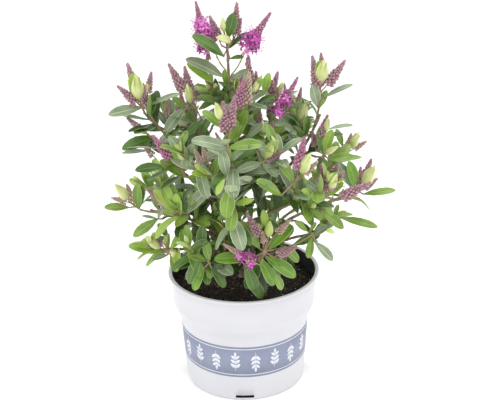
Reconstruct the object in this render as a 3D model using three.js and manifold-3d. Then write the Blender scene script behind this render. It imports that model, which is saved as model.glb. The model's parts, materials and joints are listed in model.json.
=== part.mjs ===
// A young hebe shrub in a round plastic nursery pot.
// Millimetres, +Z up, front towards -Y. The origin is the centre of the pot's flat underside.
// The plant is one trunk, a bough to each cluster of shoots, and one closed mass of foliage for each
// cluster. Angles are in degrees: a bearing turns anticlockwise from +X, seen from above.

import * as THREE from "three";
import { mergeVertices } from "three/addons/utils/BufferGeometryUtils.js";
import Module from "manifold-3d";

const wasm = await Module();
wasm.setup();

// ---------------------------------------------------------------- driving dimensions

const GAP = 0.3; // clearance between solids that meet

const POT = {
  height: 131,
  lipRadius: 85,
  lipHeight: 3,
  bandTopRadius: 82,
  bandFootRadius: 80,
  bandFootHeight: 98, // where the stacking shoulder starts
  shoulderHeight: 79, // where the shoulder has come in to the body
  shoulderBend: { out: 1.2, low: 5, high: 3 }, // the two bends of the shoulder, from its middle
  bodyTopRadius: 72.6,
  footRadius: 67.6,
  footRound: 1.6,
  lipSlope: 1.5,
  wall: 1.4,
  floor: 2.4,
  segments: 40,
};

const DRAIN = { count: 4, width: 20, height: 4, depth: 8 }; // slots through the wall above the floor

const SOIL = { top: 116, edgeTop: 113, flatRadius: 22, segments: 32 };

const TRUNK = {
  foot: [4, 6],
  tip: [-12, 1, 383],
  sway: 7, // how far the middle bows to the left
  footRadius: 5.6,
  tipRadius: 1.9,
  flare: 3.4, // extra radius at the root flare
  flareHeight: 9,
  sides: 8,
  steps: 14,
};

const BOUGH = {
  rootRadius: 2.9,
  tipRadius: 1.5,
  rise: 0.42, // share of the way spent leaving the trunk
  leaveAngle: 48, // from upright
  settle: 0.8, // how early it takes on the cluster's lean, as a share of the rise
  reachIn: 0.35, // how far short of a mass's middle a bough stops, as a share of its half length
  sides: 5,
  steps: 6,
};

const STALK = { rootRadius: 1.1, tipRadius: 0.9 }; // the thin stalks of the two crest spikes

const FOLIAGE = {
  detail: 2,
  waves: 5,
  wavePull: [2, 4], // how tightly the seeded waves on the surface follow each other
  waveRise: 0.1, // their size, as a share of the radius
  neck: 0.16, // how much a mass draws in where its bough enters
  lobes: 7,
  lobeRise: [0.12, 0.34], // how far a shoot tip stands out of its mass
  lobeSpread: 0.42, // radians
  lobeLean: 1.75, // radians from the mass's long axis, at most
};

// One entry for each cluster of shoots. at is the bearing, the distance from the pot's axis and the
// height of the middle of its foliage. size is its half length along its long axis, its half width
// across that axis and level, and its half depth where it differs from the width. lean tilts the long
// axis outwards from upright. fork is the height at which its bough leaves the trunk: a cluster with
// no fork sits round a limb that passes through it.
const CLUSTERS = {
  crest_left: { at: [-172, 32, 402], size: [27, 12], lean: 20, fork: 357, stalk: true },
  crest_right: { at: [-20, 18, 397], size: [28, 14], lean: 36, fork: 352, stalk: true },
  crest_tip: { at: [160, 11, 405], size: [24, 13], lean: 0 },
  upper_left: { at: [176, 44, 347], size: [27, 22], lean: 30, fork: 312 },
  upper_right: { at: [10, 48, 322], size: [31, 23], lean: 20, fork: 276 },
  upper_mid: { at: [-92, 19, 328], size: [29, 25], lean: 0 },
  left_top: { at: [-176, 108, 331], size: [32, 25], lean: 36, fork: 212 },
  left_inner: { at: [162, 68, 322], size: [33, 22], lean: 25, fork: 252 },
  left_mid: { at: [-160, 103, 284], size: [27, 25], lean: 60, fork: 186 },
  centre_left: { at: [-130, 76, 284], size: [30, 24], lean: 30, fork: 226 },
  centre_front: { at: [-95, 84, 292], size: [32, 27], lean: 30, fork: 240 },
  centre_right: { at: [-55, 73, 288], size: [32, 24], lean: 25, fork: 222 },
  right_top: { at: [3, 94, 338], size: [30, 19], lean: 14, fork: 190 },
  right_mid: { at: [-9, 86, 283], size: [25, 22], lean: 20 },
  right_outer: { at: [9, 123, 262], size: [27, 22], lean: 50, fork: 166 },
  right_tip: { at: [-4, 134, 227], size: [30, 22], lean: 70, fork: 150 },
  right_front: { at: [-44, 102, 252], size: [34, 27], lean: 50, fork: 174 },
  right_low: { at: [-5, 106, 178], size: [37, 22], lean: 82, fork: 136 },
  left_low_tip: { at: [-178, 122, 213], size: [26, 20], lean: 72, fork: 144 },
  left_low: { at: [-160, 86, 218], size: [27, 24], lean: 55, fork: 154 },
  left_bottom: { at: [-164, 101, 170], size: [26, 19], lean: 80, fork: 131 },
  front_left_low: { at: [-124, 88, 180], size: [29, 27], lean: 75, fork: 139 },
  front_low: { at: [-78, 68, 160], size: [34, 38, 22], lean: 100, fork: 127 },
  front_mid: { at: [-97, 98, 232], size: [30, 29], lean: 55, fork: 160 },
  back_top: { at: [96, 52, 316], size: [34, 27], lean: 20, fork: 262 },
  back_left: { at: [128, 96, 272], size: [35, 29], lean: 40, fork: 200 },
  back_right: { at: [52, 96, 278], size: [35, 29], lean: 40, fork: 204 },
  back_low_left: { at: [146, 108, 202], size: [33, 26], lean: 68, fork: 148 },
  back_low: { at: [92, 106, 214], size: [33, 28], lean: 58, fork: 163 },
  back_low_right: { at: [36, 108, 196], size: [33, 26], lean: 68, fork: 142 },
};

const COLOURS = {
  pot: { color: 0xeeeef0, roughness: 0.42, metalness: 0 },
  soil: { color: 0x2b211b, roughness: 0.95, metalness: 0 },
  bark: { color: 0x7a6654, roughness: 0.8, metalness: 0 },
  foliage: { color: 0x5f8442, roughness: 0.55, metalness: 0 },
  blossom: { color: 0xb0479c, roughness: 0.6, metalness: 0 },
};

const X_AXIS = new THREE.Vector3(1, 0, 0);
const Z_AXIS = new THREE.Vector3(0, 0, 1);
const TURN = 2 * Math.PI;
const GOLDEN_ANGLE = Math.PI * (3 - Math.sqrt(5));
const radians = THREE.MathUtils.degToRad;

// ---------------------------------------------------------------- solids

// A closed three.js geometry as a manifold-3d solid.
function solidOf(geometry) {
  const bare = geometry.index ? geometry.toNonIndexed() : geometry.clone();
  bare.deleteAttribute("normal");
  bare.deleteAttribute("uv");
  const merged = mergeVertices(bare, 1e-3);
  return new wasm.Manifold(
    new wasm.Mesh({
      numProp: 3,
      vertProperties: merged.attributes.position.array,
      triVerts: new Uint32Array(merged.index.array),
    }),
  );
}

// The largest body of a solid, as a three.js geometry.
function geometryOf(solid) {
  const bodies = solid.decompose();
  const largest = bodies.reduce((a, b) => (b.volume() > a.volume() ? b : a));
  const mesh = largest.getMesh();
  return new THREE.BufferGeometry()
    .setAttribute("position", new THREE.BufferAttribute(mesh.vertProperties, 3))
    .setIndex(new THREE.BufferAttribute(mesh.triVerts, 1));
}

// A body turned about the pot's axis, from [radius, height] pairs that start and end on the axis.
// LatheGeometry turns about +Y, so the result is stood up on +Z.
function turned(profile, segments) {
  const points = profile.map(([radius, height]) => new THREE.Vector2(radius, height));
  return new THREE.LatheGeometry(points, segments).rotateX(Math.PI / 2);
}

// The direction that leans from +Z by one angle and is turned round +Z by another, in radians.
function leaning(lean, round) {
  return Z_AXIS.clone().applyAxisAngle(X_AXIS, lean).applyAxisAngle(Z_AXIS, round);
}

// Seeded numbers for one named piece: each call gives the next one, between two limits.
function seeded(name) {
  let state = [...name].reduce((sum, letter) => Math.imul(sum, 31) + letter.charCodeAt(0), 7);
  return (low, high) => {
    state = Math.imul(state ^ (state >>> 15), 0x2c1b3c6d) + 0x6d2b79f5;
    const mixed = Math.imul(state ^ (state >>> 13), 0x297a2d39);
    const share = ((mixed ^ (mixed >>> 16)) >>> 0) / 0x100000000;
    return THREE.MathUtils.lerp(low, high, share);
  };
}

// ---------------------------------------------------------------- pot and soil

// The pot's outer radius and height, from the foot up to the lip.
function potOutline() {
  const waist = (POT.bandFootRadius + POT.bodyTopRadius) / 2;
  const middle = (POT.bandFootHeight + POT.shoulderHeight) / 2;
  const { out, low, high } = POT.shoulderBend;
  return [
    [POT.footRadius - POT.footRound, 0],
    [POT.footRadius, POT.footRound],
    [POT.bodyTopRadius, POT.shoulderHeight],
    [waist - out, middle - low],
    [waist + out, middle + high],
    [POT.bandFootRadius, POT.bandFootHeight],
    [POT.bandTopRadius, POT.height - POT.lipHeight - POT.lipSlope],
    [POT.lipRadius, POT.height - POT.lipHeight],
    [POT.lipRadius, POT.height],
  ];
}

// The pot's inner wall, offset by the wall's thickness and by what more is asked for.
function potLining(extra) {
  const inset = POT.wall + extra;
  const outline = potOutline().slice(2, 7);
  return [
    [POT.footRadius - inset, POT.floor + extra],
    ...outline.map(([radius, height]) => [radius - inset, height]),
  ];
}

function potGeometry() {
  const lining = [...potLining(0), [POT.bandTopRadius - POT.wall, POT.height]];
  const profile = [[0, 0], ...potOutline(), ...lining.reverse(), [0, POT.floor]];
  let shell = solidOf(turned(profile, POT.segments));
  for (let slot = 0; slot < DRAIN.count; slot++) {
    const cutter = new THREE.BoxGeometry(DRAIN.width, DRAIN.depth, DRAIN.height);
    cutter.translate(0, -POT.footRadius, POT.floor + DRAIN.height / 2);
    cutter.rotateZ((slot / DRAIN.count) * TURN);
    shell = shell.subtract(solidOf(cutter));
  }
  return geometryOf(shell);
}

// The radius of the lining at a height, for the edge of the soil.
function liningRadius(height, extra) {
  const lining = potLining(extra);
  const above = lining.findIndex(([, level]) => level >= height);
  const [[lowRadius, low], [highRadius, high]] = [lining[above - 1], lining[above]];
  return THREE.MathUtils.mapLinear(height, low, high, lowRadius, highRadius);
}

function soilGeometry() {
  const sides = potLining(GAP).filter(([, height]) => height < SOIL.edgeTop);
  const profile = [
    [0, POT.floor + GAP],
    ...sides,
    [liningRadius(SOIL.edgeTop, GAP), SOIL.edgeTop],
    [SOIL.flatRadius, SOIL.top],
    [0, SOIL.top],
  ];
  return geometryOf(solidOf(turned(profile, SOIL.segments)));
}

// ---------------------------------------------------------------- trunk

// A closed, tapering limb of round section along a curve. radiusAt gives the radius at 0 to 1 along it.
function limb(curve, radiusAt, sides, steps) {
  const shape = new THREE.CylinderGeometry(1, 1, 1, sides, steps);
  const frames = curve.computeFrenetFrames(steps);
  const position = shape.attributes.position;
  const place = new THREE.Vector3();
  for (let i = 0; i < position.count; i++) {
    const along = position.getY(i) + 0.5;
    const ring = Math.round(along * steps);
    const radius = radiusAt(along);
    curve.getPointAt(along, place);
    place.addScaledVector(frames.normals[ring], position.getX(i) * radius);
    place.addScaledVector(frames.binormals[ring], -position.getZ(i) * radius);
    position.setXYZ(i, place.x, place.y, place.z);
  }
  return solidOf(shape);
}

function trunkCurve() {
  const foot = new THREE.Vector3(...TRUNK.foot, SOIL.top + GAP);
  const tip = new THREE.Vector3(...TRUNK.tip);
  const low = foot.clone().lerp(tip, 1 / 3);
  const high = foot.clone().lerp(tip, 2 / 3);
  low.x -= TRUNK.sway;
  high.x -= TRUNK.sway / 2;
  return new THREE.CatmullRomCurve3([foot, low, high, tip]);
}

// The trunk, or the same trunk grown by a clearance. Its foot is a flat cut that stands on the soil.
function trunkSolid(curve, extra = 0) {
  const radiusAt = (along) => {
    const flare = TRUNK.flare * Math.exp((-along * curve.getLength()) / TRUNK.flareHeight);
    return THREE.MathUtils.lerp(TRUNK.footRadius, TRUNK.tipRadius, along) + flare + extra;
  };
  const side = 80;
  const below = new THREE.BoxGeometry(side, side, side).translate(0, 0, SOIL.top + GAP - side / 2);
  return limb(curve, radiusAt, TRUNK.sides, TRUNK.steps).subtract(solidOf(below));
}

// The point on the trunk's centre line at a height.
function trunkPointAt(curve, height) {
  const samples = curve.getSpacedPoints(200);
  return samples.reduce((a, b) => (Math.abs(b.z - height) < Math.abs(a.z - height) ? b : a));
}

// ---------------------------------------------------------------- foliage

function clusterCentre({ at: [bearing, reach, height] }) {
  return new THREE.Vector3(reach, 0, height).applyAxisAngle(Z_AXIS, radians(bearing));
}

function clusterAxis({ at: [bearing], lean }) {
  return leaning(radians(lean), radians(bearing + 90));
}

// The radius of one mass in a direction, as a factor: seeded waves, shoot tips that stand out round
// its outer end, and a neck at its inner end.
function unevenness(name) {
  const between = seeded(name);
  const waves = Array.from({ length: FOLIAGE.waves }, () => {
    const heading = leaning(Math.acos(between(-1, 1)), between(0, TURN));
    return { pull: heading.multiplyScalar(between(...FOLIAGE.wavePull)), phase: between(0, TURN) };
  });
  const lobes = Array.from({ length: FOLIAGE.lobes }, (_, i) => {
    const lean = FOLIAGE.lobeLean * Math.sqrt((i + between(0, 1)) / FOLIAGE.lobes);
    return { tip: leaning(lean, i * GOLDEN_ANGLE), rise: between(...FOLIAGE.lobeRise) };
  });
  return (direction) => {
    const rough = waves.map(({ pull, phase }) => Math.cos(pull.dot(direction) + phase));
    const sum = rough.reduce((total, wave) => total + wave, 0);
    const tips = lobes.map(({ tip, rise }) => {
      return rise * Math.exp(-((tip.angleTo(direction) / FOLIAGE.lobeSpread) ** 2));
    });
    const neck = FOLIAGE.neck * Math.max(0, -direction.z);
    return 1 + (FOLIAGE.waveRise * sum) / Math.sqrt(FOLIAGE.waves) + Math.max(...tips) - neck;
  };
}

// One mass of foliage, or the same mass grown by a clearance.
function massSolid(name, cluster, extra = 0) {
  const [length, width, depth = width] = cluster.size;
  const halfSizes = new THREE.Vector3(depth, width, length);
  const factor = unevenness(name);
  const ball = new THREE.IcosahedronGeometry(1, FOLIAGE.detail);
  const position = ball.attributes.position;
  const point = new THREE.Vector3();
  for (let i = 0; i < position.count; i++) {
    point.fromBufferAttribute(position, i).normalize();
    const size = factor(point);
    point.multiply(halfSizes).multiplyScalar(size);
    point.setLength(point.length() + extra);
    position.setXYZ(i, point.x, point.y, point.z);
  }
  ball.rotateY(radians(cluster.lean)).rotateZ(radians(cluster.at[0]));
  return solidOf(ball.translate(...clusterCentre(cluster).toArray()));
}

// ---------------------------------------------------------------- boughs

// The way from the trunk to the inside of a cluster, arching from steep to the cluster's own lean.
function boughCurve(cluster, trunk) {
  const root = trunkPointAt(trunk, cluster.fork);
  const axis = clusterAxis(cluster);
  const end = clusterCentre(cluster).addScaledVector(axis, -BOUGH.reachIn * cluster.size[0]);
  const leave = end.clone().sub(root).setZ(0).normalize();
  leave.multiplyScalar(Math.sin(radians(BOUGH.leaveAngle)));
  leave.z = Math.cos(radians(BOUGH.leaveAngle));
  const stretch = BOUGH.rise * end.distanceTo(root);
  return new THREE.CubicBezierCurve3(
    root,
    root.clone().addScaledVector(leave, stretch),
    end.clone().addScaledVector(axis, -BOUGH.settle * stretch),
    end,
  );
}

function boughSolid(cluster, trunk, extra = 0) {
  const { rootRadius, tipRadius } = cluster.stalk ? STALK : BOUGH;
  const radiusAt = (along) => THREE.MathUtils.lerp(rootRadius, tipRadius, along) + extra;
  return limb(boughCurve(cluster, trunk), radiusAt, BOUGH.sides, BOUGH.steps);
}

// ---------------------------------------------------------------- assembly

function node(name, geometry, look) {
  const mesh = new THREE.Mesh(geometry, new THREE.MeshStandardMaterial(look));
  mesh.name = name;
  return mesh;
}

function takeAway(solid, others) {
  return others.reduce((left, other) => left.subtract(other), solid);
}

// The trunk, the boughs and the masses, each cut clear of what was placed before it.
function plant() {
  const group = new THREE.Group();
  const curve = trunkCurve();
  const grownTrunk = trunkSolid(curve, GAP);
  group.add(node("trunk", geometryOf(trunkSolid(curve)), COLOURS.bark));

  const clusters = Object.entries(CLUSTERS);
  const forked = clusters.filter(([, cluster]) => cluster.fork);
  const grownBoughs = forked.map(([, cluster]) => boughSolid(cluster, curve, GAP));
  const grownMasses = clusters.map(([name, cluster]) => massSolid(name, cluster, GAP));

  forked.forEach(([name, cluster], i) => {
    const ownMass = massSolid(name, cluster, GAP);
    const solid = takeAway(boughSolid(cluster, curve), [grownTrunk, ownMass, ...grownBoughs.slice(0, i)]);
    group.add(node(`bough_${name}`, geometryOf(solid), COLOURS.bark));
  });

  clusters.forEach(([name, cluster], i) => {
    const passing = grownBoughs.filter((_, bough) => forked[bough][0] !== name);
    const solid = takeAway(massSolid(name, cluster), [grownTrunk, ...passing, ...grownMasses.slice(0, i)]);
    const look = cluster.stalk ? COLOURS.blossom : COLOURS.foliage;
    group.add(node(`foliage_${name}`, geometryOf(solid), look));
  });
  return group;
}

function hebeInPot() {
  const group = new THREE.Group();
  group.add(node("pot", potGeometry(), COLOURS.pot));
  group.add(node("soil", soilGeometry(), COLOURS.soil));
  group.add(plant());
  return group;
}

export default hebeInPot();
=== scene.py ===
"""Looks of a young hebe shrub in a round nursery pot.

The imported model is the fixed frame. The pot, its printed band and the soil are rebuilt at full
smoothness. Every limb gets a skin of bark, and every closed mass of foliage gives way to shoots that
grow on from its limb: leaves in crossed pairs, a cupped tip, and tapering flower spikes beside it.
All sizes are in metres, written as millimetres times MM. Small parts grow along +Y, top side +Z.
"""

from __future__ import annotations

import json
import logging
import math
from dataclasses import dataclass, replace
from enum import Enum, IntEnum
from typing import Iterable, Sequence

import bmesh
import bpy
import numpy as np
from mathutils import Matrix, Vector, noise
from mathutils.bvhtree import BVHTree


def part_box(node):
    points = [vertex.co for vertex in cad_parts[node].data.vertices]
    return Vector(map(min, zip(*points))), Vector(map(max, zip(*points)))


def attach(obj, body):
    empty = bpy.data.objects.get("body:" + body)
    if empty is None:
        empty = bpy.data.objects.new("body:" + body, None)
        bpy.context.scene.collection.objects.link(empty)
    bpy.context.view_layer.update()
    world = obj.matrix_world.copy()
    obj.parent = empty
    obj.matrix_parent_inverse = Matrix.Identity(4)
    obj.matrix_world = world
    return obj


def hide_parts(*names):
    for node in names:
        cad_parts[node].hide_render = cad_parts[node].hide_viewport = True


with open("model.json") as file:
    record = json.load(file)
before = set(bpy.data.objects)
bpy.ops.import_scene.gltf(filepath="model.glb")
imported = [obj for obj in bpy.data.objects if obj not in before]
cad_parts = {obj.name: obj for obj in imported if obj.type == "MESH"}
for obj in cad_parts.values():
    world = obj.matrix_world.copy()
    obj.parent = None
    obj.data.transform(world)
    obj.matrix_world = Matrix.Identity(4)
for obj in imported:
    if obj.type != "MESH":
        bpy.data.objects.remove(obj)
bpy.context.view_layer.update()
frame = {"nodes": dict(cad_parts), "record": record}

log = logging.getLogger("hebe")

MM = 0.001
SEED = 41
BODY = "root"
MOST_TRIANGLES = 180_000  # in one piece
GOLDEN_ANGLE = math.radians(137.508)
UP = np.array((0.0, 0.0, 1.0))

Point = np.ndarray
Place = np.ndarray  # a 4 x 4 matrix
Rng = np.random.Generator


# ---- small helpers


def paint(red: float, green: float, blue: float) -> tuple[float, float, float, float]:
    """Linear colour of a screen colour given as 0 to 255."""
    linear = [((c / 255 + 0.055) / 1.055) ** 2.4 if c > 10 else c / 255 / 12.92 for c in (red, green, blue)]
    return (*linear, 1.0)


def unit(vector: Point) -> Point:
    """The vector at length one."""
    return vector / max(float(np.linalg.norm(vector)), 1e-12)


def across(axis: Point, towards: Point) -> Point:
    """The part of one direction that is square to an axis, at length one."""
    square = towards - axis * float(axis @ towards)
    if np.linalg.norm(square) < 1e-6:
        square = cross(axis, (0.31, 0.87, 0.38))
    return unit(square)


def cross(a: Point, b: Point) -> Point:
    """The cross product of two vectors."""
    return np.array((a[1] * b[2] - a[2] * b[1], a[2] * b[0] - a[0] * b[2], a[0] * b[1] - a[1] * b[0]))


def turned(vector: Point, axis: Point, angle: float) -> Point:
    """The vector turned about an axis of length one."""
    c, s = math.cos(angle), math.sin(angle)
    return vector * c + cross(axis, vector) * s + axis * float(axis @ vector) * (1 - c)


def placed(at: Point, along: Point, facing: Point, size: float | Sequence[float] = 1.0) -> Place:
    """Where a small part goes.

    Args:
        at: the point its origin comes to.
        along: the direction its +Y takes.
        facing: the direction its +Z leans to.
        size: its scale, or one scale for each of its axes.

    Returns:
        The part's place.
    """
    y = unit(along)
    x = unit(cross(y, across(y, facing)))
    place = np.eye(4)
    place[:3, :3] = np.column_stack((x, y, cross(x, y))) * np.broadcast_to(size, 3)
    place[:3, 3] = at
    return place


def blend(low: float, high: float, share: float) -> float:
    """The value a share of the way from low to high."""
    return low + (high - low) * share


def smooth(share: float) -> float:
    """A share eased at both ends."""
    share = min(max(share, 0.0), 1.0)
    return share * share * (3 - 2 * share)


# ---- finishes


@dataclass(frozen=True)
class Finish:
    """A surface with a mottled colour and a fine relief, both in object coordinates."""

    name: str
    light: tuple[float, float, float]
    dark: tuple[float, float, float]
    roughness: float = 0.5
    mottle: float = 90.0  # features a metre
    relief: float = 0.1
    grain: float = 900.0
    height: float = 0.1 * MM
    specular: float = 0.5
    sheen: float = 0.0
    coat: float = 0.0

    def material(self) -> bpy.types.Material:
        """The finish as a Blender material.

        Returns:
            The material.
        """
        made = bpy.data.materials.new(self.name)
        made.use_nodes = True
        nodes, links = made.node_tree.nodes, made.node_tree.links
        shader = nodes["Principled BSDF"]
        shader.inputs["Roughness"].default_value = self.roughness
        shader.inputs["Specular IOR Level"].default_value = self.specular
        shader.inputs["Sheen Weight"].default_value = self.sheen
        shader.inputs["Coat Weight"].default_value = self.coat
        place = nodes.new("ShaderNodeTexCoord").outputs["Object"]
        ramp = self.colours(nodes, links, place)
        links.new(ramp.outputs["Color"], shader.inputs["Base Color"])
        fine = nodes.new("ShaderNodeTexNoise")
        fine.inputs["Scale"].default_value = self.grain
        fine.inputs["Detail"].default_value = 3.0
        links.new(place, fine.inputs["Vector"])
        bump = nodes.new("ShaderNodeBump")
        bump.inputs["Strength"].default_value = self.relief
        bump.inputs["Distance"].default_value = self.height
        links.new(fine.outputs["Fac"], bump.inputs["Height"])
        links.new(bump.outputs["Normal"], shader.inputs["Normal"])
        return made

    def colours(
        self, nodes: bpy.types.Nodes, links: bpy.types.NodeLinks, place: bpy.types.NodeSocket
    ) -> bpy.types.Node:
        """Soft mottling between the dark and the light colour.

        Args:
            nodes: the material's nodes.
            links: the material's links.
            place: the coordinates the mottling follows.

        Returns:
            The ramp that gives the colour.
        """
        mottling = nodes.new("ShaderNodeTexNoise")
        mottling.inputs["Scale"].default_value = self.mottle
        mottling.inputs["Detail"].default_value = 4.0
        links.new(place, mottling.inputs["Vector"])
        ramp = self.ramp(nodes, 0.34, 0.66)
        links.new(mottling.outputs["Fac"], ramp.inputs["Fac"])
        return ramp

    def ramp(self, nodes: bpy.types.Nodes, start: float, end: float) -> bpy.types.Node:
        """A ramp from the dark colour to the light one.

        Args:
            nodes: the material's nodes.
            start: where the dark colour ends.
            end: where the light colour begins.

        Returns:
            The ramp.
        """
        made = nodes.new("ShaderNodeValToRGB")
        low, high = made.color_ramp.elements
        low.position, high.position = start, end
        low.color, high.color = paint(*self.dark), paint(*self.light)
        return made


@dataclass(frozen=True)
class Peat(Finish):
    """Moist dark compost: peat crumbs with brown fibre between them."""

    crumb: float = 520.0

    def colours(
        self, nodes: bpy.types.Nodes, links: bpy.types.NodeLinks, place: bpy.types.NodeSocket
    ) -> bpy.types.Node:
        """Crumbs of different browns, one random tone for each crumb.

        Args:
            nodes: the material's nodes.
            links: the material's links.
            place: the coordinates the crumbs follow.

        Returns:
            The ramp that gives the colour.
        """
        crumbs = nodes.new("ShaderNodeTexVoronoi")
        crumbs.inputs["Scale"].default_value = self.crumb
        links.new(place, crumbs.inputs["Vector"])
        shade = nodes.new("ShaderNodeSeparateColor")
        links.new(crumbs.outputs["Color"], shade.inputs["Color"])
        ramp = self.ramp(nodes, 0.55, 1.0)
        links.new(shade.outputs["Red"], ramp.inputs["Fac"])
        return ramp


WHITE_PLASTIC = Finish("white_plastic", (208, 208, 212), (204, 204, 209), 0.36, 14, 0.05, 260, 0.05 * MM)
BLACK_PLASTIC = Finish("black_plastic", (50, 51, 54), (38, 39, 42), 0.42, 30, 0.08, 300, 0.06 * MM)
BAND_PRINT = Finish("slate_print", (139, 146, 168), (132, 139, 162), 0.42, 60, 0.05, 500, 0.03 * MM)
PALE_PRINT = Finish("pale_print", (228, 230, 237), (220, 223, 232), 0.42, 60, 0.05, 500, 0.03 * MM)
PEAT = Peat("potting_soil", (72, 62, 54), (24, 20, 17), 0.85, 90, 0.8, 420, 0.9 * MM, 0.3)
CRUMB_PEAT = Finish("peat_crumb", (60, 50, 43), (22, 18, 15), 0.85, 160, 0.5, 700, 0.4 * MM, 0.3)
CRUMB_BARK = Finish("bark_chip", (124, 106, 86), (84, 70, 56), 0.75, 220, 0.5, 900, 0.3 * MM, 0.3)
CRUMB_PERLITE = Finish("perlite", (222, 220, 212), (184, 182, 174), 0.8, 400, 0.5, 1200, 0.3 * MM)
BARK = Finish("bark", (164, 144, 122), (112, 94, 78), 0.7, 240, 0.5, 1400, 0.25 * MM, 0.35)
YOUNG_BARK = Finish("young_bark", (160, 140, 112), (124, 104, 80), 0.55, 180, 0.25, 1200, 0.12 * MM, 0.4)
GREEN_STEM = Finish("green_stem", (160, 164, 94), (140, 132, 84), 0.5, 120, 0.2, 1200, 0.1 * MM, 0.4)


class Tone(IntEnum):
    """Leaf colours, dealt out by spray. SHADE, and DEEP in part, are dark greens that serve as painted shade
    on leaves inside the crown.
    """

    SHADE = 0
    DEEP = 1
    SLATE = 2
    GREEN = 3
    FRESH = 4
    LIME = 5
    VIVID = 6


SHADE, DEEP, SLATE, GREEN, FRESH, LIME, VIVID = Tone
LEAF_FACES = 4  # finishes of one tone: upper side, underside, edge and midrib
UPPER, UNDER, EDGE, RIB = range(LEAF_FACES)


def leaf_finishes() -> list[Finish]:
    """Upper side, underside, edge and midrib of each leaf tone. The pale edge and midrib are partly the
    leaf's own pale margin and midrib, and partly painted highlight from the gloss along them.

    Returns:
        The finishes, in the order of Tone.
    """
    sides = {
        # SHADE and DEEP: dark greens, used inside the crown as painted shade
        SHADE: ((66, 88, 42), (50, 70, 32), (116, 136, 86), (112, 134, 84), (82, 104, 56)),
        DEEP: ((86, 120, 46), (64, 96, 34), (140, 164, 100), (150, 176, 114), (110, 138, 68)),
        SLATE: ((142, 158, 122), (112, 130, 96), (168, 182, 142), (202, 210, 188), (194, 204, 176)),
        GREEN: ((132, 162, 70), (102, 134, 50), (164, 186, 110), (178, 200, 128), (156, 182, 96)),
        FRESH: ((156, 186, 78), (126, 160, 60), (182, 202, 116), (196, 214, 132), (178, 202, 106)),
        LIME: ((196, 214, 124), (172, 196, 98), (206, 218, 140), (218, 226, 160), (210, 222, 142)),
        VIVID: ((116, 156, 48), (88, 128, 34), (150, 176, 92), (176, 202, 124), (138, 174, 70)),
    }
    made = []
    for tone, (light, dark, under, edge, rib) in sides.items():
        name = tone.name.lower()
        soft = tuple(c - 10 for c in under)
        made += [
            Finish(f"{name}_leaf", light, dark, 0.34, 60, 0.25, 500, 0.12 * MM, 0.4, 0.0, 0.12),
            Finish(f"{name}_leaf_under", under, soft, 0.55, 60, 0.25, 600, 0.12 * MM, 0.4),
            # edge and midrib: the leaf's own pale margin and midrib, lightened further as painted highlight
            Finish(f"{name}_leaf_edge", edge, edge, 0.4, 60, 0.1, 600, 0.1 * MM, 0.5),
            Finish(f"{name}_leaf_rib", rib, rib, 0.4, 60, 0.1, 600, 0.1 * MM, 0.5),
        ]
    return made


class Bud(IntEnum):
    """Colours of the closed buds, dealt out by spike."""

    DULL = 0
    BRIGHT = 1
    PALE = 2


DULL, BRIGHT, PALE = Bud
BUD_FINISHES = (
    Finish("dull_calyx", (228, 208, 198), (204, 178, 168), 0.6),
    Finish("dull_bud", (190, 150, 156), (148, 112, 122), 0.5, 300),
    Finish("bright_calyx", (226, 196, 196), (206, 168, 174), 0.6),
    Finish("bright_bud", (190, 136, 160), (158, 100, 130), 0.5, 300),
    Finish("pale_calyx", (218, 212, 180), (198, 190, 156), 0.6),
    Finish("pale_bud", (204, 180, 164), (178, 148, 138), 0.55, 300),
)
FLORET_FINISHES = (
    # the first two petal finishes are one magenta in a lit and a shaded tone: painted highlight and painted
    # shade
    Finish("petal", (218, 90, 192), (188, 58, 162), 0.6, 320, sheen=0.2),
    Finish("petal_painted_shade", (172, 50, 150), (140, 36, 122), 0.6, 320, sheen=0.2),
    Finish("petal_faded", (230, 146, 210), (208, 114, 188), 0.6, 320, sheen=0.2),
    Finish("anther", (150, 90, 140), (124, 66, 116), 0.6, 320),
)
POD_FINISHES = (
    Finish("pod", (206, 212, 148), (182, 194, 118), 0.42, 70, 0.2, 500, 0.1 * MM, 0.5, 0.0, 0.1),
    Finish("pod_seam", (226, 230, 182), (212, 218, 160), 0.45, 70),
    Finish("pod_green", (182, 196, 112), (156, 176, 88), 0.42, 70, 0.2, 500, 0.1 * MM, 0.5, 0.0, 0.1),
    Finish("pod_green_seam", (214, 222, 160), (198, 208, 138), 0.45, 70),
)


# ---- small shapes


@dataclass(frozen=True)
class Shape:
    """A small closed mesh as arrays, made once and copied many times."""

    points: np.ndarray
    corners: np.ndarray
    counts: np.ndarray
    finishes: np.ndarray

    @classmethod
    def taken(cls, bm: bmesh.types.BMesh) -> Shape:
        """The arrays of a bmesh, which is freed.

        Args:
            bm: the mesh, with material indices on its faces.

        Returns:
            The shape.
        """
        bm.verts.index_update()
        made = cls(
            np.array([v.co for v in bm.verts], float),
            np.array([v.index for f in bm.faces for v in f.verts]),
            np.array([len(f.verts) for f in bm.faces]),
            np.array([f.material_index for f in bm.faces]),
        )
        bm.free()
        return made

    @classmethod
    def joined(cls, parts: Iterable[tuple[Shape, Place]]) -> Shape:
        """One shape of several placed ones.

        Args:
            parts: each shape with its place.

        Returns:
            The joined shape.
        """
        points, corners, counts, finishes, used = [], [], [], [], 0
        for shape, place in parts:
            points.append(shape.points @ place[:3, :3].T + place[:3, 3])
            corners.append(shape.corners + used)
            counts.append(shape.counts)
            finishes.append(shape.finishes)
            used += len(shape.points)
        return cls(*(np.concatenate(x) for x in (points, corners, counts, finishes)))

    def bent(self, turn: float) -> Shape:
        """The shape with its length bent towards +Z by that angle in all."""
        length = float(self.points[:, 1].max())
        share = self.points[:, 1] / length
        angle = turn * share
        radius = length / turn
        points = self.points.copy()
        points[:, 1] = (radius - self.points[:, 2]) * np.sin(angle)
        points[:, 2] = radius - (radius - self.points[:, 2]) * np.cos(angle)
        return Shape(points, self.corners, self.counts, self.finishes)

    @property
    def triangles(self) -> int:
        """How many triangles the shape makes."""
        return int((self.counts - 2).sum())


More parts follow.
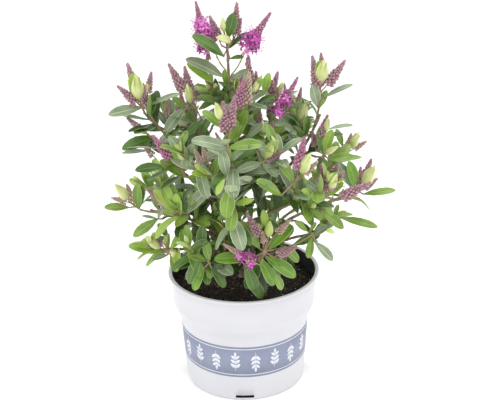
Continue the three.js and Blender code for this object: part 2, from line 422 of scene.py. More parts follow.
def turned_mesh(
    profile: Sequence[tuple[float, float]],
    steps: int,
    finishes: Sequence[int] | None = None,
    closed: bool = False,
) -> bmesh.types.BMesh:
    """A profile spun about +Y into a closed mesh.

    Args:
        profile: distance along +Y and radius of each point.
        steps: how many sides the turned mesh has.
        finishes: material index of each band of the profile.
        closed: whether the profile's ends are joined, as for a ring.

    Returns:
        The turned mesh.
    """
    bm = bmesh.new()
    rank = bm.verts.layers.int.new("rank")
    rim = [bm.verts.new((r, y, 0)) for y, r in profile]
    for number, vert in enumerate(rim):
        vert[rank] = number
    edges = [bm.edges.new(pair) for pair in zip(rim, rim[1:])]
    if closed:
        edges.append(bm.edges.new((rim[-1], rim[0])))
    bmesh.ops.spin(
        bm, geom=[*rim, *edges], cent=(0, 0, 0), axis=(0, 1, 0), angle=math.tau, steps=steps, use_merge=True
    )
    if finishes:
        for face in bm.faces:
            face.material_index = finishes[min(vert[rank] for vert in face.verts)]
    bmesh.ops.remove_doubles(bm, verts=bm.verts, dist=1e-8)
    bmesh.ops.recalc_face_normals(bm, faces=bm.faces)
    return bm


def upright(bm: bmesh.types.BMesh) -> bmesh.types.BMesh:
    """Stands a mesh that was spun about +Y up along +Z.

    Args:
        bm: the mesh.

    Returns:
        The same mesh.
    """
    bmesh.ops.rotate(bm, cent=(0, 0, 0), matrix=Matrix.Rotation(math.pi / 2, 3, "X"), verts=bm.verts)
    bmesh.ops.recalc_face_normals(bm, faces=bm.faces)
    return bm


@dataclass(frozen=True)
class Blade:
    """One leaf of length one: an upper and an under sheet, joined round the edge."""

    width: float = 0.34
    fold: float = 0.2  # how far each half rises from the midrib, radians
    arch: float = 0.5  # how far the tip bends down from the base, radians
    cup: float = 0.0  # how far the blade rounds up at its edges
    ripple: float = 0.04
    phase: float = 0.0
    thickness: float = 0.012
    columns: tuple[float, ...] = (-1, -0.92, -0.48, -0.045, 0.045, 0.48, 0.92, 1)
    rows: tuple[float, ...] = (0, 0.1, 0.3, 0.52, 0.73, 0.88, 0.96, 1)

    def half_width(self, share: float) -> float:
        """Half the width that far along, a stalk at the base and a point at the tip."""
        swell = share**0.85 * (1 - share) ** 0.62 / 0.366
        return 0.5 * self.width * max(swell, 0.16 if share < 0.5 else 0.0)

    def section(self, row: int) -> tuple[float, float, float]:
        """Place along, height and heading of the midrib at a row.

        Args:
            row: which row of the blade.

        Returns:
            Distance along +Y, height along +Z, and heading above +Y.
        """
        along = height = 0.0
        for a, b in zip(self.rows[:row], self.rows[1 : row + 1]):
            heading = self.arch * (0.35 - (a + b) / 2)
            along += math.cos(heading) * (b - a)
            height += math.sin(heading) * (b - a)
        return along, height, self.arch * (0.35 - self.rows[row])

    def shape(self) -> Shape:
        """The leaf as a shape.

        Returns:
            The shape, its base at the origin.
        """
        bm = bmesh.new()
        wide, long = len(self.columns) - 1, len(self.rows) - 1
        bmesh.ops.create_grid(bm, x_segments=wide, y_segments=long, size=1)
        cells = {v: (round((v.co.x + 1) / 2 * wide), round((v.co.y + 1) / 2 * long)) for v in bm.verts}
        # pale strips at the edge and the midrib: the leaf's own pale margin and midrib, partly painted
        # highlight
        for face in bm.faces:
            column = min(cells[v][0] for v in face.verts)
            face.material_index = {0: EDGE, wide // 2: RIB, wide - 1: EDGE}.get(column, UPPER)
        under = bmesh.ops.duplicate(bm, geom=[*bm.verts, *bm.edges, *bm.faces])
        copies = {under["vert_map"][v]: cell for v, cell in cells.items()}
        below = [f for f in under["geom"] if isinstance(f, bmesh.types.BMFace)]
        bmesh.ops.reverse_faces(bm, faces=below)
        for face in below:
            face.material_index = UNDER if face.material_index == UPPER else face.material_index
        for sheet, depth in ((cells, 0.0), (copies, self.thickness)):
            for vert, (column, row) in sheet.items():
                vert.co = self.point(self.columns[column], row, depth)
        bmesh.ops.remove_doubles(bm, verts=bm.verts, dist=1e-5)
        return Shape.taken(bm)

    def point(self, side: float, row: int, depth: float) -> Vector:
        """A point of the blade.

        Args:
            side: share of the half width, from -1 to 1.
            row: which row of the blade.
            depth: how far below the upper sheet the under sheet lies at the midrib.

        Returns:
            The point.
        """
        share = self.rows[row]
        along, height, heading = self.section(row)
        half = self.half_width(share)
        out = abs(side)
        rise = half * (out * math.sin(self.fold) + self.cup * out * out)
        rise += self.ripple * half * out * math.sin(9 * share + self.phase + (2 if side > 0 else 0))
        ends = min(1.0, 6 * (1 - share)) if share < 1 else 0.0
        rise -= depth * (1 - out**4) * ends * (1.8 if out < 0.1 else 0.8)
        x = half * side * math.cos(self.fold) * (1 - 0.35 * self.cup * out)
        return Vector((x, along - rise * math.sin(heading), height + rise * math.cos(heading)))


@dataclass(frozen=True)
class Pod:
    """The closed youngest pair of leaves: two keeled halves that meet in a seam. Its length is one."""

    width: float = 0.42
    depth: float = 0.34
    sides: int = 12
    keel: float = 0.1
    seam: float = 0.1
    bands: tuple[float, ...] = (0, 0.06, 0.2, 0.36, 0.54, 0.72, 0.88, 1)

    def shape(self, green: int = 0) -> Shape:
        """The pod as a shape.

        Args:
            green: 0 for the pale finish and 1 for the greener one.

        Returns:
            The shape, its base at the origin.
        """
        rise = [math.sin(math.pi * t**0.78) ** 0.95 if 0 < t < 1 else 0.0 for t in self.bands]
        bm = turned_mesh(list(zip(self.bands, rise)), self.sides)
        for face in bm.faces:
            middle = face.calc_center_median()
            steep = abs(middle.z) < 0.3 * abs(middle.x)
            face.material_index = 2 * green + (1 if steep else 0)
        for vert in bm.verts:
            x, y, z = vert.co
            radius = math.hypot(x, z)
            if radius > 1e-6:
                across_seam, across_keel = abs(x) / radius, abs(z) / radius
                swell = 1 + self.seam * across_seam**12 + self.keel * across_keel**10
                vert.co.x, vert.co.z = x * self.width / 2 * swell, z * self.depth / 2 * swell
            vert.co.z += 0.05 * math.sin(3 * y)
        return Shape.taken(bm)


@dataclass(frozen=True)
class Spike:
    """A tapering flower spike: a bare stalk, then buds in a spiral, smaller towards the tip."""

    length: float = 40 * MM
    bare: float = 8 * MM
    buds: int = 84
    bud_length: tuple[float, float] = (5.0 * MM, 2.3 * MM)
    bud_stalk: float = 1.3 * MM  # how far the lowest buds stand off the axis
    floret_stalk: float = 7.5 * MM
    lean: tuple[float, float] = (math.radians(60), math.radians(24))
    fullness: float = 1.4  # above one it stays broad further up
    axis_radius: tuple[float, float] = (0.75 * MM, 0.35 * MM)
    bloom: float = 0.0  # share of the spike, from the foot, that is open
    opened: float = 0.92  # share of the buds in that part that have opened
    bend: float = 0.25

    def parts(
        self, bud: Shape, florets: Sequence[Shape], stalk: Shape, rng: Rng
    ) -> SpikeParts:
        """The spike's shapes.

        Args:
            bud: one closed bud of length one.
            florets: open florets to choose from, at their own size.
            stalk: a stem of length one and radius one.
            rng: where its unevenness comes from.

        Returns:
            Its buds, florets and stalk.
        """
        closed, opened = [], []
        thick, thin = self.axis_radius
        for k in range(self.buds):
            share = (k + 0.5) / self.buds
            y = self.bare + (self.length - self.bare) * share**0.9
            turn = k * GOLDEN_ANGLE
            taper = share**self.fullness
            lean = blend(*self.lean, taper) * rng.uniform(0.88, 1.1)
            out = np.array((math.cos(turn), 0.0, math.sin(turn)))
            along = np.array((0.0, math.cos(lean), 0.0)) + out * math.sin(lean)
            at = np.array((0.0, y, 0.0)) + out * blend(thick, thin, share) * 0.6
            if share < self.bloom and rng.random() < self.opened:
                rise = (share / self.bloom) ** 1.6
                off = blend(self.floret_stalk, 0.5 * self.bud_stalk, rise) * rng.uniform(0.6, 1.15)
                place = placed(at + along * off, along, out, rng.uniform(0.8, 1.15))
                opened.append((florets[rng.integers(len(florets))], place))
                continue
            off = self.bud_stalk * (1 - taper) * rng.uniform(0.6, 1.1)
            long = blend(*self.bud_length, taper) * rng.uniform(0.88, 1.1)
            closed.append((bud, placed(at + along * off, along, out, long)))
        size = (thick, self.length * 0.97, thick)
        core = [(stalk, placed(np.zeros(3), np.array((0.0, 1.0, 0.0)), UP, size))]
        joined = [Shape.joined(x).bent(self.bend) if x else None for x in (closed, opened, core)]
        return SpikeParts(*joined)


@dataclass(frozen=True)
class SpikeParts:
    """The shapes of one kind of spike."""

    buds: Shape
    florets: Shape | None
    stalk: Shape


class Kit:
    """The small shapes that the shrub is made of."""

    def __init__(self, rng: Rng) -> None:
        """Makes every shape once.

        Args:
            rng: where their unevenness comes from.
        """
        self.stem = self.make_stem()
        self.peduncle = self.make_peduncle()
        self.bud = self.make_bud()
        # finish 0 gives lit petals (painted highlight), 1 shaded petals (painted shade), 2 faded petals
        self.florets = [self.make_floret(finish) for finish in (0, 0, 0, 1, 1, 2)]
        some = rng.uniform
        self.mature = [
            Blade(some(0.35, 0.41), some(0.08, 0.28), arch, 0.0, 0.07, some(0, 6)).shape()
            for arch in (0.1, 0.3, 0.5, 0.7, 0.95, -0.2)
        ]
        self.young = [
            Blade(some(0.34, 0.4), some(0.2, 0.42), arch, 0.1, 0.05, some(0, 6)).shape()
            for arch in (-0.5, -0.2, 0.15, 0.4)
        ]
        self.narrow = [Blade(0.28, 0.15, arch, 0.0, 0.05).shape() for arch in (0.15, 0.4)]
        self.broad = [Blade(0.48, 0.15, arch, 0.05, 0.05).shape() for arch in (0.2, 0.5)]
        self.cradle = [Blade(0.42, 0.45, arch, 0.45, 0.0).shape() for arch in (-0.55, -0.8)]
        self.pods = [Pod(*sizes).shape(green) for green in (0, 1) for sizes in ((0.46, 0.36), (0.4, 0.32))]
        closed = (
            Spike(42 * MM, 8 * MM, 96),
            Spike(48 * MM, 9 * MM, 110, bend=0.2),
            Spike(36 * MM, 6 * MM, 92, (6.2 * MM, 2.4 * MM), 1.7 * MM, bend=0.35),
            Spike(30 * MM, 6 * MM, 74, bend=0.2),
        )
        opening = (
            Spike(57 * MM, 2 * MM, 140, fullness=2.4, bloom=0.62, bend=0.2),
            Spike(46 * MM, 5 * MM, 110, fullness=1.7, bloom=0.6, opened=0.26, floret_stalk=3 * MM),
            Spike(55 * MM, 5 * MM, 140, fullness=2.4, bloom=0.42, bend=0.2, floret_stalk=9 * MM),
        )
        self.spikes, self.blooming = (
            [spike.parts(self.bud, self.florets, self.peduncle, rng) for spike in kind]
            for kind in (closed, opening)
        )

    def blades(self, part: Part) -> list[Shape]:
        """The leaves that a listed kind of leaf is chosen from."""
        return {LEAF: self.mature[:3], NARROW_LEAF: self.narrow, BROAD_LEAF: self.broad}[part]

    def spike_of(self, part: Part) -> tuple[SpikeParts, float]:
        """The shapes of a listed spike, and its length.

        Args:
            part: which kind of spike it is.

        Returns:
            The shapes and their full length.
        """
        return {
            SPIKE: (self.spikes[2], 36 * MM),
            SHORT_SPIKE: (self.spikes[3], 30 * MM),
            BLOOM: (self.blooming[0], 57 * MM),
            PART_BLOOM: (self.blooming[1], 46 * MM),
            ROUND_BLOOM: (self.blooming[2], 55 * MM),
        }[part]

    @staticmethod
    def make_stem() -> Shape:
        """One length of twig between two leaf pairs, swollen at its joint."""
        profile = [(0, 0), (0, 1.0), (0.05, 1.3), (0.14, 1.06), (0.5, 0.94), (0.9, 0.98), (1, 1.1), (1, 0)]
        return Shape.taken(turned_mesh(profile, 7))

    @staticmethod
    def make_peduncle() -> Shape:
        """A thin tapering stalk with enough rings to bend."""
        rings = [(k / 6, 1 - 0.5 * k / 6) for k in range(7)]
        return Shape.taken(turned_mesh([(0, 0), *rings, (1, 0)], 5))

    @staticmethod
    def make_bud() -> Shape:
        """A closed bud on its calyx, of length one."""
        profile = [(0, 0), (0.32, 0.2), (0.64, 0.25), (1, 0)]
        return Shape.taken(turned_mesh(profile, 5, (0, 1, 1)))

    @staticmethod
    def make_floret(finish: int) -> Shape:
        """An open floret: a short tube, four spread petals and two long stamens.

        Args:
            finish: the material index of its petals.

        Returns:
            The floret.
        """
        outline = [(0, 0), (0, 0.5 * MM), (2.4 * MM, 0.7 * MM), (4 * MM, 1.2 * MM), (3.4 * MM, 0)]
        # the tube takes the shaded magenta, painted shade inside the floret
        tube = Shape.taken(turned_mesh(outline, 6, (1, 1, 1, 1)))
        bm = bmesh.new()
        bmesh.ops.create_icosphere(bm, subdivisions=1, radius=1)
        bmesh.ops.scale(bm, vec=(1.5 * MM, 2.9 * MM, 0.35 * MM), verts=bm.verts)
        bmesh.ops.translate(bm, vec=(0, 2.6 * MM, 0), verts=bm.verts)
        for face in bm.faces:
            face.material_index = finish
        petal = Shape.taken(bm).bent(-0.7)
        thread = 0.18 * MM
        rod = [(0, 0), (0, thread), (7 * MM, thread), (7 * MM, 0)]
        filament = Shape.taken(turned_mesh(rod, 3, (2, 2, 2)))
        anther = Shape.taken(turned_mesh([(0, 0), (0.5 * MM, 0.4 * MM), (1.3 * MM, 0)], 4, (3, 3)))
        parts = [(tube, np.eye(4))]
        mouth = np.array((0.0, 3.6 * MM, 0.0))
        ahead = np.array((0.0, 1.0, 0.0))
        for k in range(4):
            turn = math.tau * (k + 0.5) / 4
            out = np.array((math.cos(turn), 0.0, math.sin(turn)))
            parts.append((petal, placed(mouth, out + 0.35 * ahead, ahead)))
        for side in (-1, 1):
            along = unit(ahead + 0.42 * side * np.array((1.0, 0.0, 0.4)))
            parts.append((filament, placed(mouth - ahead * MM, along, UP)))
            parts.append((anther, placed(mouth + along * 5.8 * MM, along, UP)))
        return Shape.joined(parts)


class Spray:
    """Many placed copies of small shapes, joined into pieces."""

    def __init__(self, name: str, slot: str, finishes: Sequence[Finish], nodes: Sequence[str] = ()) -> None:
        """An empty spray.

        Args:
            name: the piece's name.
            slot: the record's material slot; not used.
            finishes: finishes in the order of the shapes' material indices.
            nodes: the frame's nodes that the pieces stand for.
        """
        self.name = name
        self.slot = slot
        self.finishes = finishes
        self.nodes = list(nodes)
        self.copies: dict[tuple[int, int], tuple[Shape, list[Place]]] = {}

    def add(self, shape: Shape, place: Place, shift: int = 0) -> None:
        """Adds one copy.

        Args:
            shape: the shape to copy.
            place: where it goes.
            shift: what is added to its material indices.
        """
        self.copies.setdefault((id(shape), shift), (shape, []))[1].append(place)

    def batches(self) -> list[list[tuple[Shape, Place, int]]]:
        """The copies, shared out so that no piece is too large.

        Returns:
            The copies of each piece.
        """
        every = [(shape, place, key[1]) for key, (shape, places) in self.copies.items() for place in places]
        total = sum(shape.triangles for shape, _, _ in every)
        count = max(1, math.ceil(total / MOST_TRIANGLES))
        every.sort(key=lambda copy: float(copy[1][0, 3]))
        return [every[k * len(every) // count : (k + 1) * len(every) // count] for k in range(count)]

    def build(self) -> None:
        """Makes the pieces and hands them to the frame."""
        materials = [finish.material() for finish in self.finishes]
        batches = self.batches()
        for number, batch in enumerate(batches, 1):
            shape = Shape.joined((copy, place) for copy, place, _ in batch)
            shift = np.concatenate([np.full(len(copy.finishes), extra) for copy, _, extra in batch])
            name = self.name if len(batches) == 1 else f"{self.name}_{number}"
            mesh = array_mesh(name, Shape(shape.points, shape.corners, shape.counts, shape.finishes + shift))
            hand_over(mesh, materials, self.nodes)


def array_mesh(name: str, shape: Shape) -> bpy.types.Mesh:
    """A Blender mesh of a shape's arrays.

    Args:
        name: the mesh's name.
        shape: the arrays.

    Returns:
        The mesh, smooth shaded.
    """
    mesh = bpy.data.meshes.new(name)
    mesh.vertices.add(len(shape.points))
    mesh.vertices.foreach_set("co", shape.points.astype(np.float32).ravel())
    mesh.loops.add(len(shape.corners))
    mesh.loops.foreach_set("vertex_index", shape.corners.astype(np.int32))
    mesh.polygons.add(len(shape.counts))
    starts = np.concatenate(([0], np.cumsum(shape.counts)[:-1]))
    mesh.polygons.foreach_set("loop_start", starts.astype(np.int32))
    mesh.polygons.foreach_set("material_index", shape.finishes.astype(np.int32))
    mesh.polygons.foreach_set("use_smooth", np.ones(len(shape.counts), bool))
    mesh.update(calc_edges=True)
    mesh.validate()
    return mesh


def bm_mesh(name: str, bm: bmesh.types.BMesh) -> bpy.types.Mesh:
    """A Blender mesh of a bmesh, smooth shaded; the bmesh is freed.

    Args:
        name: the mesh's name.
        bm: the bmesh.

    Returns:
        The mesh.
    """
    mesh = bpy.data.meshes.new(name)
    for face in bm.faces:
        face.smooth = True
    bm.to_mesh(mesh)
    bm.free()
    return mesh


def hand_over(
    mesh: bpy.types.Mesh, materials: Sequence[bpy.types.Material], nodes: Sequence[str] = ()
) -> bpy.types.Object:
    """Makes a piece of a mesh and hands it to the frame.

    Args:
        mesh: the mesh, whose name the piece takes.
        materials: its materials.
        nodes: the frame's nodes it stands for.

    Returns:
        The piece.
    """
    for material in materials:
        mesh.materials.append(material)
    piece = bpy.data.objects.new(mesh.name, mesh)
    bpy.context.scene.collection.objects.link(piece)
    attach(piece, BODY)
    if nodes:
        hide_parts(*nodes)
    mesh.calc_loop_triangles()
    log.info("%s: %d triangles", piece.name, len(mesh.loop_triangles))
    return piece


# ---- pot and soil


@dataclass
class Pot:
    """A thin-walled nursery pot: white outside and black inside, with a stacking shoulder."""

    height: float = 131 * MM
    lip_radius: float = 85 * MM
    lip: float = 3 * MM
    band_top_radius: float = 82 * MM
    band_foot_radius: float = 80 * MM
    band_foot: float = 98 * MM
    shoulder_foot: float = 79 * MM
    body_radius: float = 72.6 * MM
    foot_radius: float = 67.6 * MM
    foot_round: float = 1.6 * MM
    ledge: float = 0.3 * MM  # how far the band's foot stands out over the shoulder
    wall: float = 1.4 * MM
    floor: float = 2.4 * MM
    slots: int = 4
    slot_sides: int = 7
    slot_height: float = 4 * MM
    sides: int = 144
    shoulder_steps: int = 9

    def radius(self, z: float) -> float:
        """The outer wall's radius at a height below the lip.

        Args:
            z: the height.

        Returns:
            The radius.
        """
        if z >= self.band_foot:
            share = (z - self.band_foot) / (self.height - self.band_foot)
            return blend(self.band_foot_radius, self.band_top_radius, share)
        if z >= self.shoulder_foot:
            share = (z - self.shoulder_foot) / (self.band_foot - self.shoulder_foot)
            return blend(self.body_radius, self.band_foot_radius, smooth(share**0.75))
        return blend(self.foot_radius, self.body_radius, z / self.shoulder_foot)

    def profile(self) -> tuple[list[tuple[float, float]], list[int]]:
        """The wall's section, from the middle of the underside to the middle of the floor.

        Returns:
            Height and radius of its points, and the finish of each band: 0 white, 1 black.
        """
        shoulder = [
            blend(self.shoulder_foot, self.band_foot, k / self.shoulder_steps)
            for k in range(self.shoulder_steps + 1)
        ]
        heights = [self.foot_round, self.floor, self.floor + self.slot_height, 20 * MM, 50 * MM, *shoulder]
        heights += [self.band_foot + 0.5 * MM, self.band_foot + 14 * MM, self.height - self.lip - 1.5 * MM]
        rounding = (0.35 * MM, self.foot_radius - 0.6 * MM)
        outside = [(0.0, 0.0), (0.0, self.foot_radius - self.foot_round), rounding]
        for z in heights:
            ledge = self.ledge if abs(z - self.band_foot) < 0.1 * MM else 0
            outside.append((z, self.radius(z) + ledge))
        roll = self.lip / 2
        middle = self.height - roll
        out = self.lip_radius - roll
        turns = np.linspace(-1.3, math.pi / 2, 8)
        lip = [(middle + roll * math.sin(a), out + roll * math.cos(a)) for a in turns]
        inner_top = self.radius(self.height - self.lip) - self.wall
        lip += [(self.height - 0.2 * MM, inner_top + 0.5 * MM), (self.height - 0.8 * MM, inner_top)]
        inside = [(z, self.radius(z) - self.wall) for z in reversed(heights) if z >= self.floor]
        inside += [(self.floor, 0.0)]
        profile = outside + lip + inside
        white = len(outside) + len(lip) - 1
        return profile, [0] * white + [1] * (len(profile) - 1 - white)

    def build(self) -> None:
        """Spins the wall, cuts the drain slots and hands the pot over."""
        profile, finishes = self.profile()
        bm = upright(turned_mesh(profile, self.sides, finishes))
        self.cut_slots(bm)
        materials = [WHITE_PLASTIC.material(), BLACK_PLASTIC.material()]
        hand_over(bm_mesh("nursery_pot", bm), materials, ["pot"])

    def cut_slots(self, bm: bmesh.types.BMesh) -> None:
        """Opens the drain slots through the wall.

        Args:
            bm: the spun pot.
        """
        step = math.tau / self.sides
        low, high = self.floor, self.floor + self.slot_height
        for number in range(self.slots):
            middle = -math.pi / 2 + math.tau * number / self.slots
            opened = []
            for face in bm.faces:
                at = face.calc_center_median()
                off = (math.atan2(at.y, at.x) - middle + math.pi) % math.tau - math.pi
                if low < at.z < high and math.hypot(at.x, at.y) > 0.9 * self.foot_radius:
                    if abs(off) < step * self.slot_sides / 2:
                        opened.append(face)
            bmesh.ops.delete(bm, geom=opened, context="FACES_ONLY")
            edges = [e for e in bm.edges if e.is_boundary]
            made = bmesh.ops.bridge_loops(bm, edges=edges)
            for face in made["faces"]:
                face.material_index = 0
        loose = [e for e in bm.edges if e.is_wire]
        bmesh.ops.delete(bm, geom=loose, context="EDGES")


@dataclass
class PrintedBand:
    """A printed band round the pot: a slate ground, pinstripes, and an even row of leaf sprigs."""

    pot: Pot
    foot: float = 31 * MM
    top: float = 70 * MM
    proud: float = 0.12 * MM
    stripe: float = 0.9 * MM
    stripe_inset: float = 2.6 * MM
    sprigs: int = 20
    sprig_height: float = 25 * MM
    leaflet: float = 7.2 * MM
    sides: int = 144

    def ring(self, low: float, high: float, proud: float) -> bmesh.types.BMesh:
        """A thin ring lying on the wall.

        Args:
            low: its lower edge.
            high: its upper edge.
            proud: how far it stands out of the wall.

        Returns:
            The ring.
        """
        deep = -0.3 * MM
        corners = [(low, proud), (high, proud), (high, deep), (low, deep)]
        section = [(z, self.pot.radius(z) + d) for z, d in corners]
        return upright(turned_mesh(section, self.sides, closed=True))

    def petal(self) -> Shape:
        """One flat leaflet of the print, of length one."""
        bm = bmesh.new()
        bmesh.ops.create_circle(bm, cap_ends=True, segments=14, radius=0.5)
        for vert in bm.verts:
            share = vert.co.y + 0.5
            vert.co = Vector((vert.co.x * 0.62 * (1 - 0.5 * (share - 0.5)), share, 0))
        bmesh.ops.solidify(bm, geom=bm.faces[:], thickness=0.02)
        bmesh.ops.recalc_face_normals(bm, faces=bm.faces)
        return Shape.taken(bm)

    def build(self) -> None:
        """Makes the ground and the print on it."""
        ground = self.ring(self.foot, self.top, self.proud)
        hand_over(bm_mesh("printed_band", ground), [BAND_PRINT.material()])
        rings = []
        for low in (self.foot + self.stripe_inset, self.top - self.stripe_inset - self.stripe):
            rings.append((Shape.taken(self.ring(low, low + self.stripe, 2 * self.proud)), np.eye(4)))
        spray = Spray("band_print", "printed_band", [PALE_PRINT])
        spray.add(Shape.joined(rings), np.eye(4))
        petal = self.petal()
        for number in range(self.sprigs):
            self.add_sprig(spray, petal, math.tau * (number + 0.5) / self.sprigs, number % 2 == 0)
        spray.build()

    def add_sprig(self, spray: Spray, petal: Shape, turn: float, upright: bool) -> None:
        """Adds one sprig: a stem and leaflets in pairs, or the same sprig hanging.

        Args:
            spray: where it goes.
            petal: the leaflet.
            turn: its bearing.
            upright: whether it stands or hangs.
        """
        out = np.array((math.cos(turn), math.sin(turn), 0.0))
        side = np.array((-out[1], out[0], 0.0))
        way = 1 if upright else -1
        middle = (self.foot + self.top) / 2
        slope = (self.pot.radius(self.top) - self.pot.radius(self.foot)) / (self.top - self.foot)
        grow = unit(UP + out * slope) * way

        def on_wall(share: float) -> Point:
            z = middle + way * (share - 0.5) * self.sprig_height
            return out * (self.pot.radius(z) + 1.6 * self.proud) + UP * z

        spray.add(petal, placed(on_wall(0), grow, out, (1.2 * MM, self.sprig_height * 0.8, 1.5 * MM)))
        for share in (0.22, 0.44, 0.66):
            for hand in (-1, 1):
                along = unit(grow + 1.05 * hand * side)
                size = self.leaflet * (1.1 - 0.35 * share)
                spray.add(petal, placed(on_wall(share), along, out, (size * 0.8, size, 1.5 * MM)))
        size = (self.leaflet * 0.62, self.leaflet * 0.85, 1.5 * MM)
        spray.add(petal, placed(on_wall(0.78), grow, out, size))


@dataclass
class Soil:
    """Peat compost in the pot, uneven on top, with crumbs, chips and perlite lying on it."""

    pot: Pot
    sides: int = 120
    rings: int = 46
    unevenness: float = 1.5 * MM
    clear: float = 0.35 * MM
    crumbs: int = 1500
    chips: int = 230
    perlite: int = 90
    fibres: int = 90

    def __post_init__(self) -> None:
        """Takes the soil's place and height from the frame."""
        low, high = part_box("soil")
        self.foot, self.top = low.z, high.z
        self.edge_radius = max(high.x, high.y)

    def height(self, x: float, y: float) -> float:
        """The soil's surface at a place.

        Args:
            x: distance to the right.
            y: distance to the back.

        Returns:
            The height above the floor.
        """
        share = min(math.hypot(x, y) / self.edge_radius, 1.0)
        bump = noise.noise(Vector((x, y, 0.3)) / (16 * MM))
        bump += 0.5 * noise.noise(Vector((x, y, 0.9)) / (5 * MM))
        fine = noise.noise(Vector((x, y, 0.1)) / (1.7 * MM))
        settled = self.top - 3.2 * MM * smooth((share - 0.25) / 0.75)
        return settled - self.unevenness * 0.6 + self.unevenness * bump + 0.5 * MM * fine

    def build(self) -> None:
        """Makes the soil and what lies on it."""
        deep = self.foot + 1 * MM
        foot_radius = self.pot.radius(deep) - self.pot.wall - self.clear
        side = [(deep, 0.0), (deep, foot_radius)]
        wall_heights = [20 * MM, self.pot.shoulder_foot, 88 * MM, self.pot.band_foot, self.top - 5 * MM]
        side += [(z, self.pot.radius(z) - self.pot.wall - self.clear) for z in wall_heights]
        reach = self.pot.radius(self.top - 3 * MM) - self.pot.wall - self.clear
        top = [(self.top - 3 * MM, reach * (1 - k / self.rings)) for k in range(self.rings)]
        bm = upright(turned_mesh([*side, *top, (self.top, 0.0)], self.sides))
        for vert in bm.verts:
            if vert.co.z > self.top - 4 * MM:
                vert.co.z = self.height(vert.co.x, vert.co.y)
        hand_over(bm_mesh("potting_soil", bm), [PEAT.material()], ["soil"])
        self.scatter(np.random.default_rng(SEED + 1), reach)

    @staticmethod
    def crumb(rng: Rng, finish: int) -> Shape:
        """One uneven crumb of radius about one.

        Args:
            rng: where its unevenness comes from.
            finish: its material index.

        Returns:
            The crumb.
        """
        bm = bmesh.new()
        bmesh.ops.create_icosphere(bm, subdivisions=1, radius=1)
        for vert in bm.verts:
            vert.co *= float(rng.uniform(0.7, 1.3))
        for face in bm.faces:
            face.material_index = finish
        return Shape.taken(bm)

    def scatter(self, rng: Rng, reach: float) -> None:
        """Strews crumbs, bark chips, perlite and fibres on the surface.

        Args:
            rng: where they fall.
            reach: how far from the middle they may lie.
        """
        spray = Spray("soil_crumbs", "potting_soil", [CRUMB_PEAT, CRUMB_BARK, CRUMB_PERLITE])
        kinds = [[self.crumb(rng, finish) for _ in range(4)] for finish in range(3)]
        fibre = Shape.taken(turned_mesh([(0, 0), (0.1, 1), (0.5, 1), (0.9, 1), (1, 0)], 4, (1,) * 4))
        sizes = ((0.7, 2.1, (1, 1, 0.8)), (0.7, 2.2, (0.7, 1.9, 0.5)), (0.5, 1.15, (1, 1, 0.8)))
        for kind, count in enumerate((self.crumbs, self.chips, self.perlite)):
            low, high, form = sizes[kind]
            for _ in range(count):
                size = MM * blend(low, high, float(rng.random()) ** 2.2)
                at = self.spot(rng, reach - 2.5 * MM)
                along = unit(np.append(rng.normal(size=2), 0.25 * rng.normal()))
                shape = kinds[kind][rng.integers(4)]
                spray.add(shape, placed(at, along, UP + 0.3 * rng.normal(size=3), np.array(form) * size))
        for _ in range(self.fibres):
            at = self.spot(rng, reach - 8 * MM) + UP * 0.4 * MM
            along = unit(np.append(rng.normal(size=2), 0.2))
            bent = fibre.bent(float(rng.uniform(0.3, 1.2)))
            facing, length = rng.normal(size=3), rng.uniform(4, 10) * MM
            spray.add(bent, placed(at, along, facing, (0.16 * MM, length, 0.16 * MM)))
        spray.build()

    def spot(self, rng: Rng, reach: float) -> Point:
        """A random place on the surface.

        Args:
            rng: where it falls.
            reach: how far from the middle it may lie.

        Returns:
            The place.
        """
        radius, turn = reach * math.sqrt(rng.random()), math.tau * rng.random()
        x, y = radius * math.cos(turn), radius * math.sin(turn)
        return np.array((x, y, self.height(x, y)))


# ---- limbs


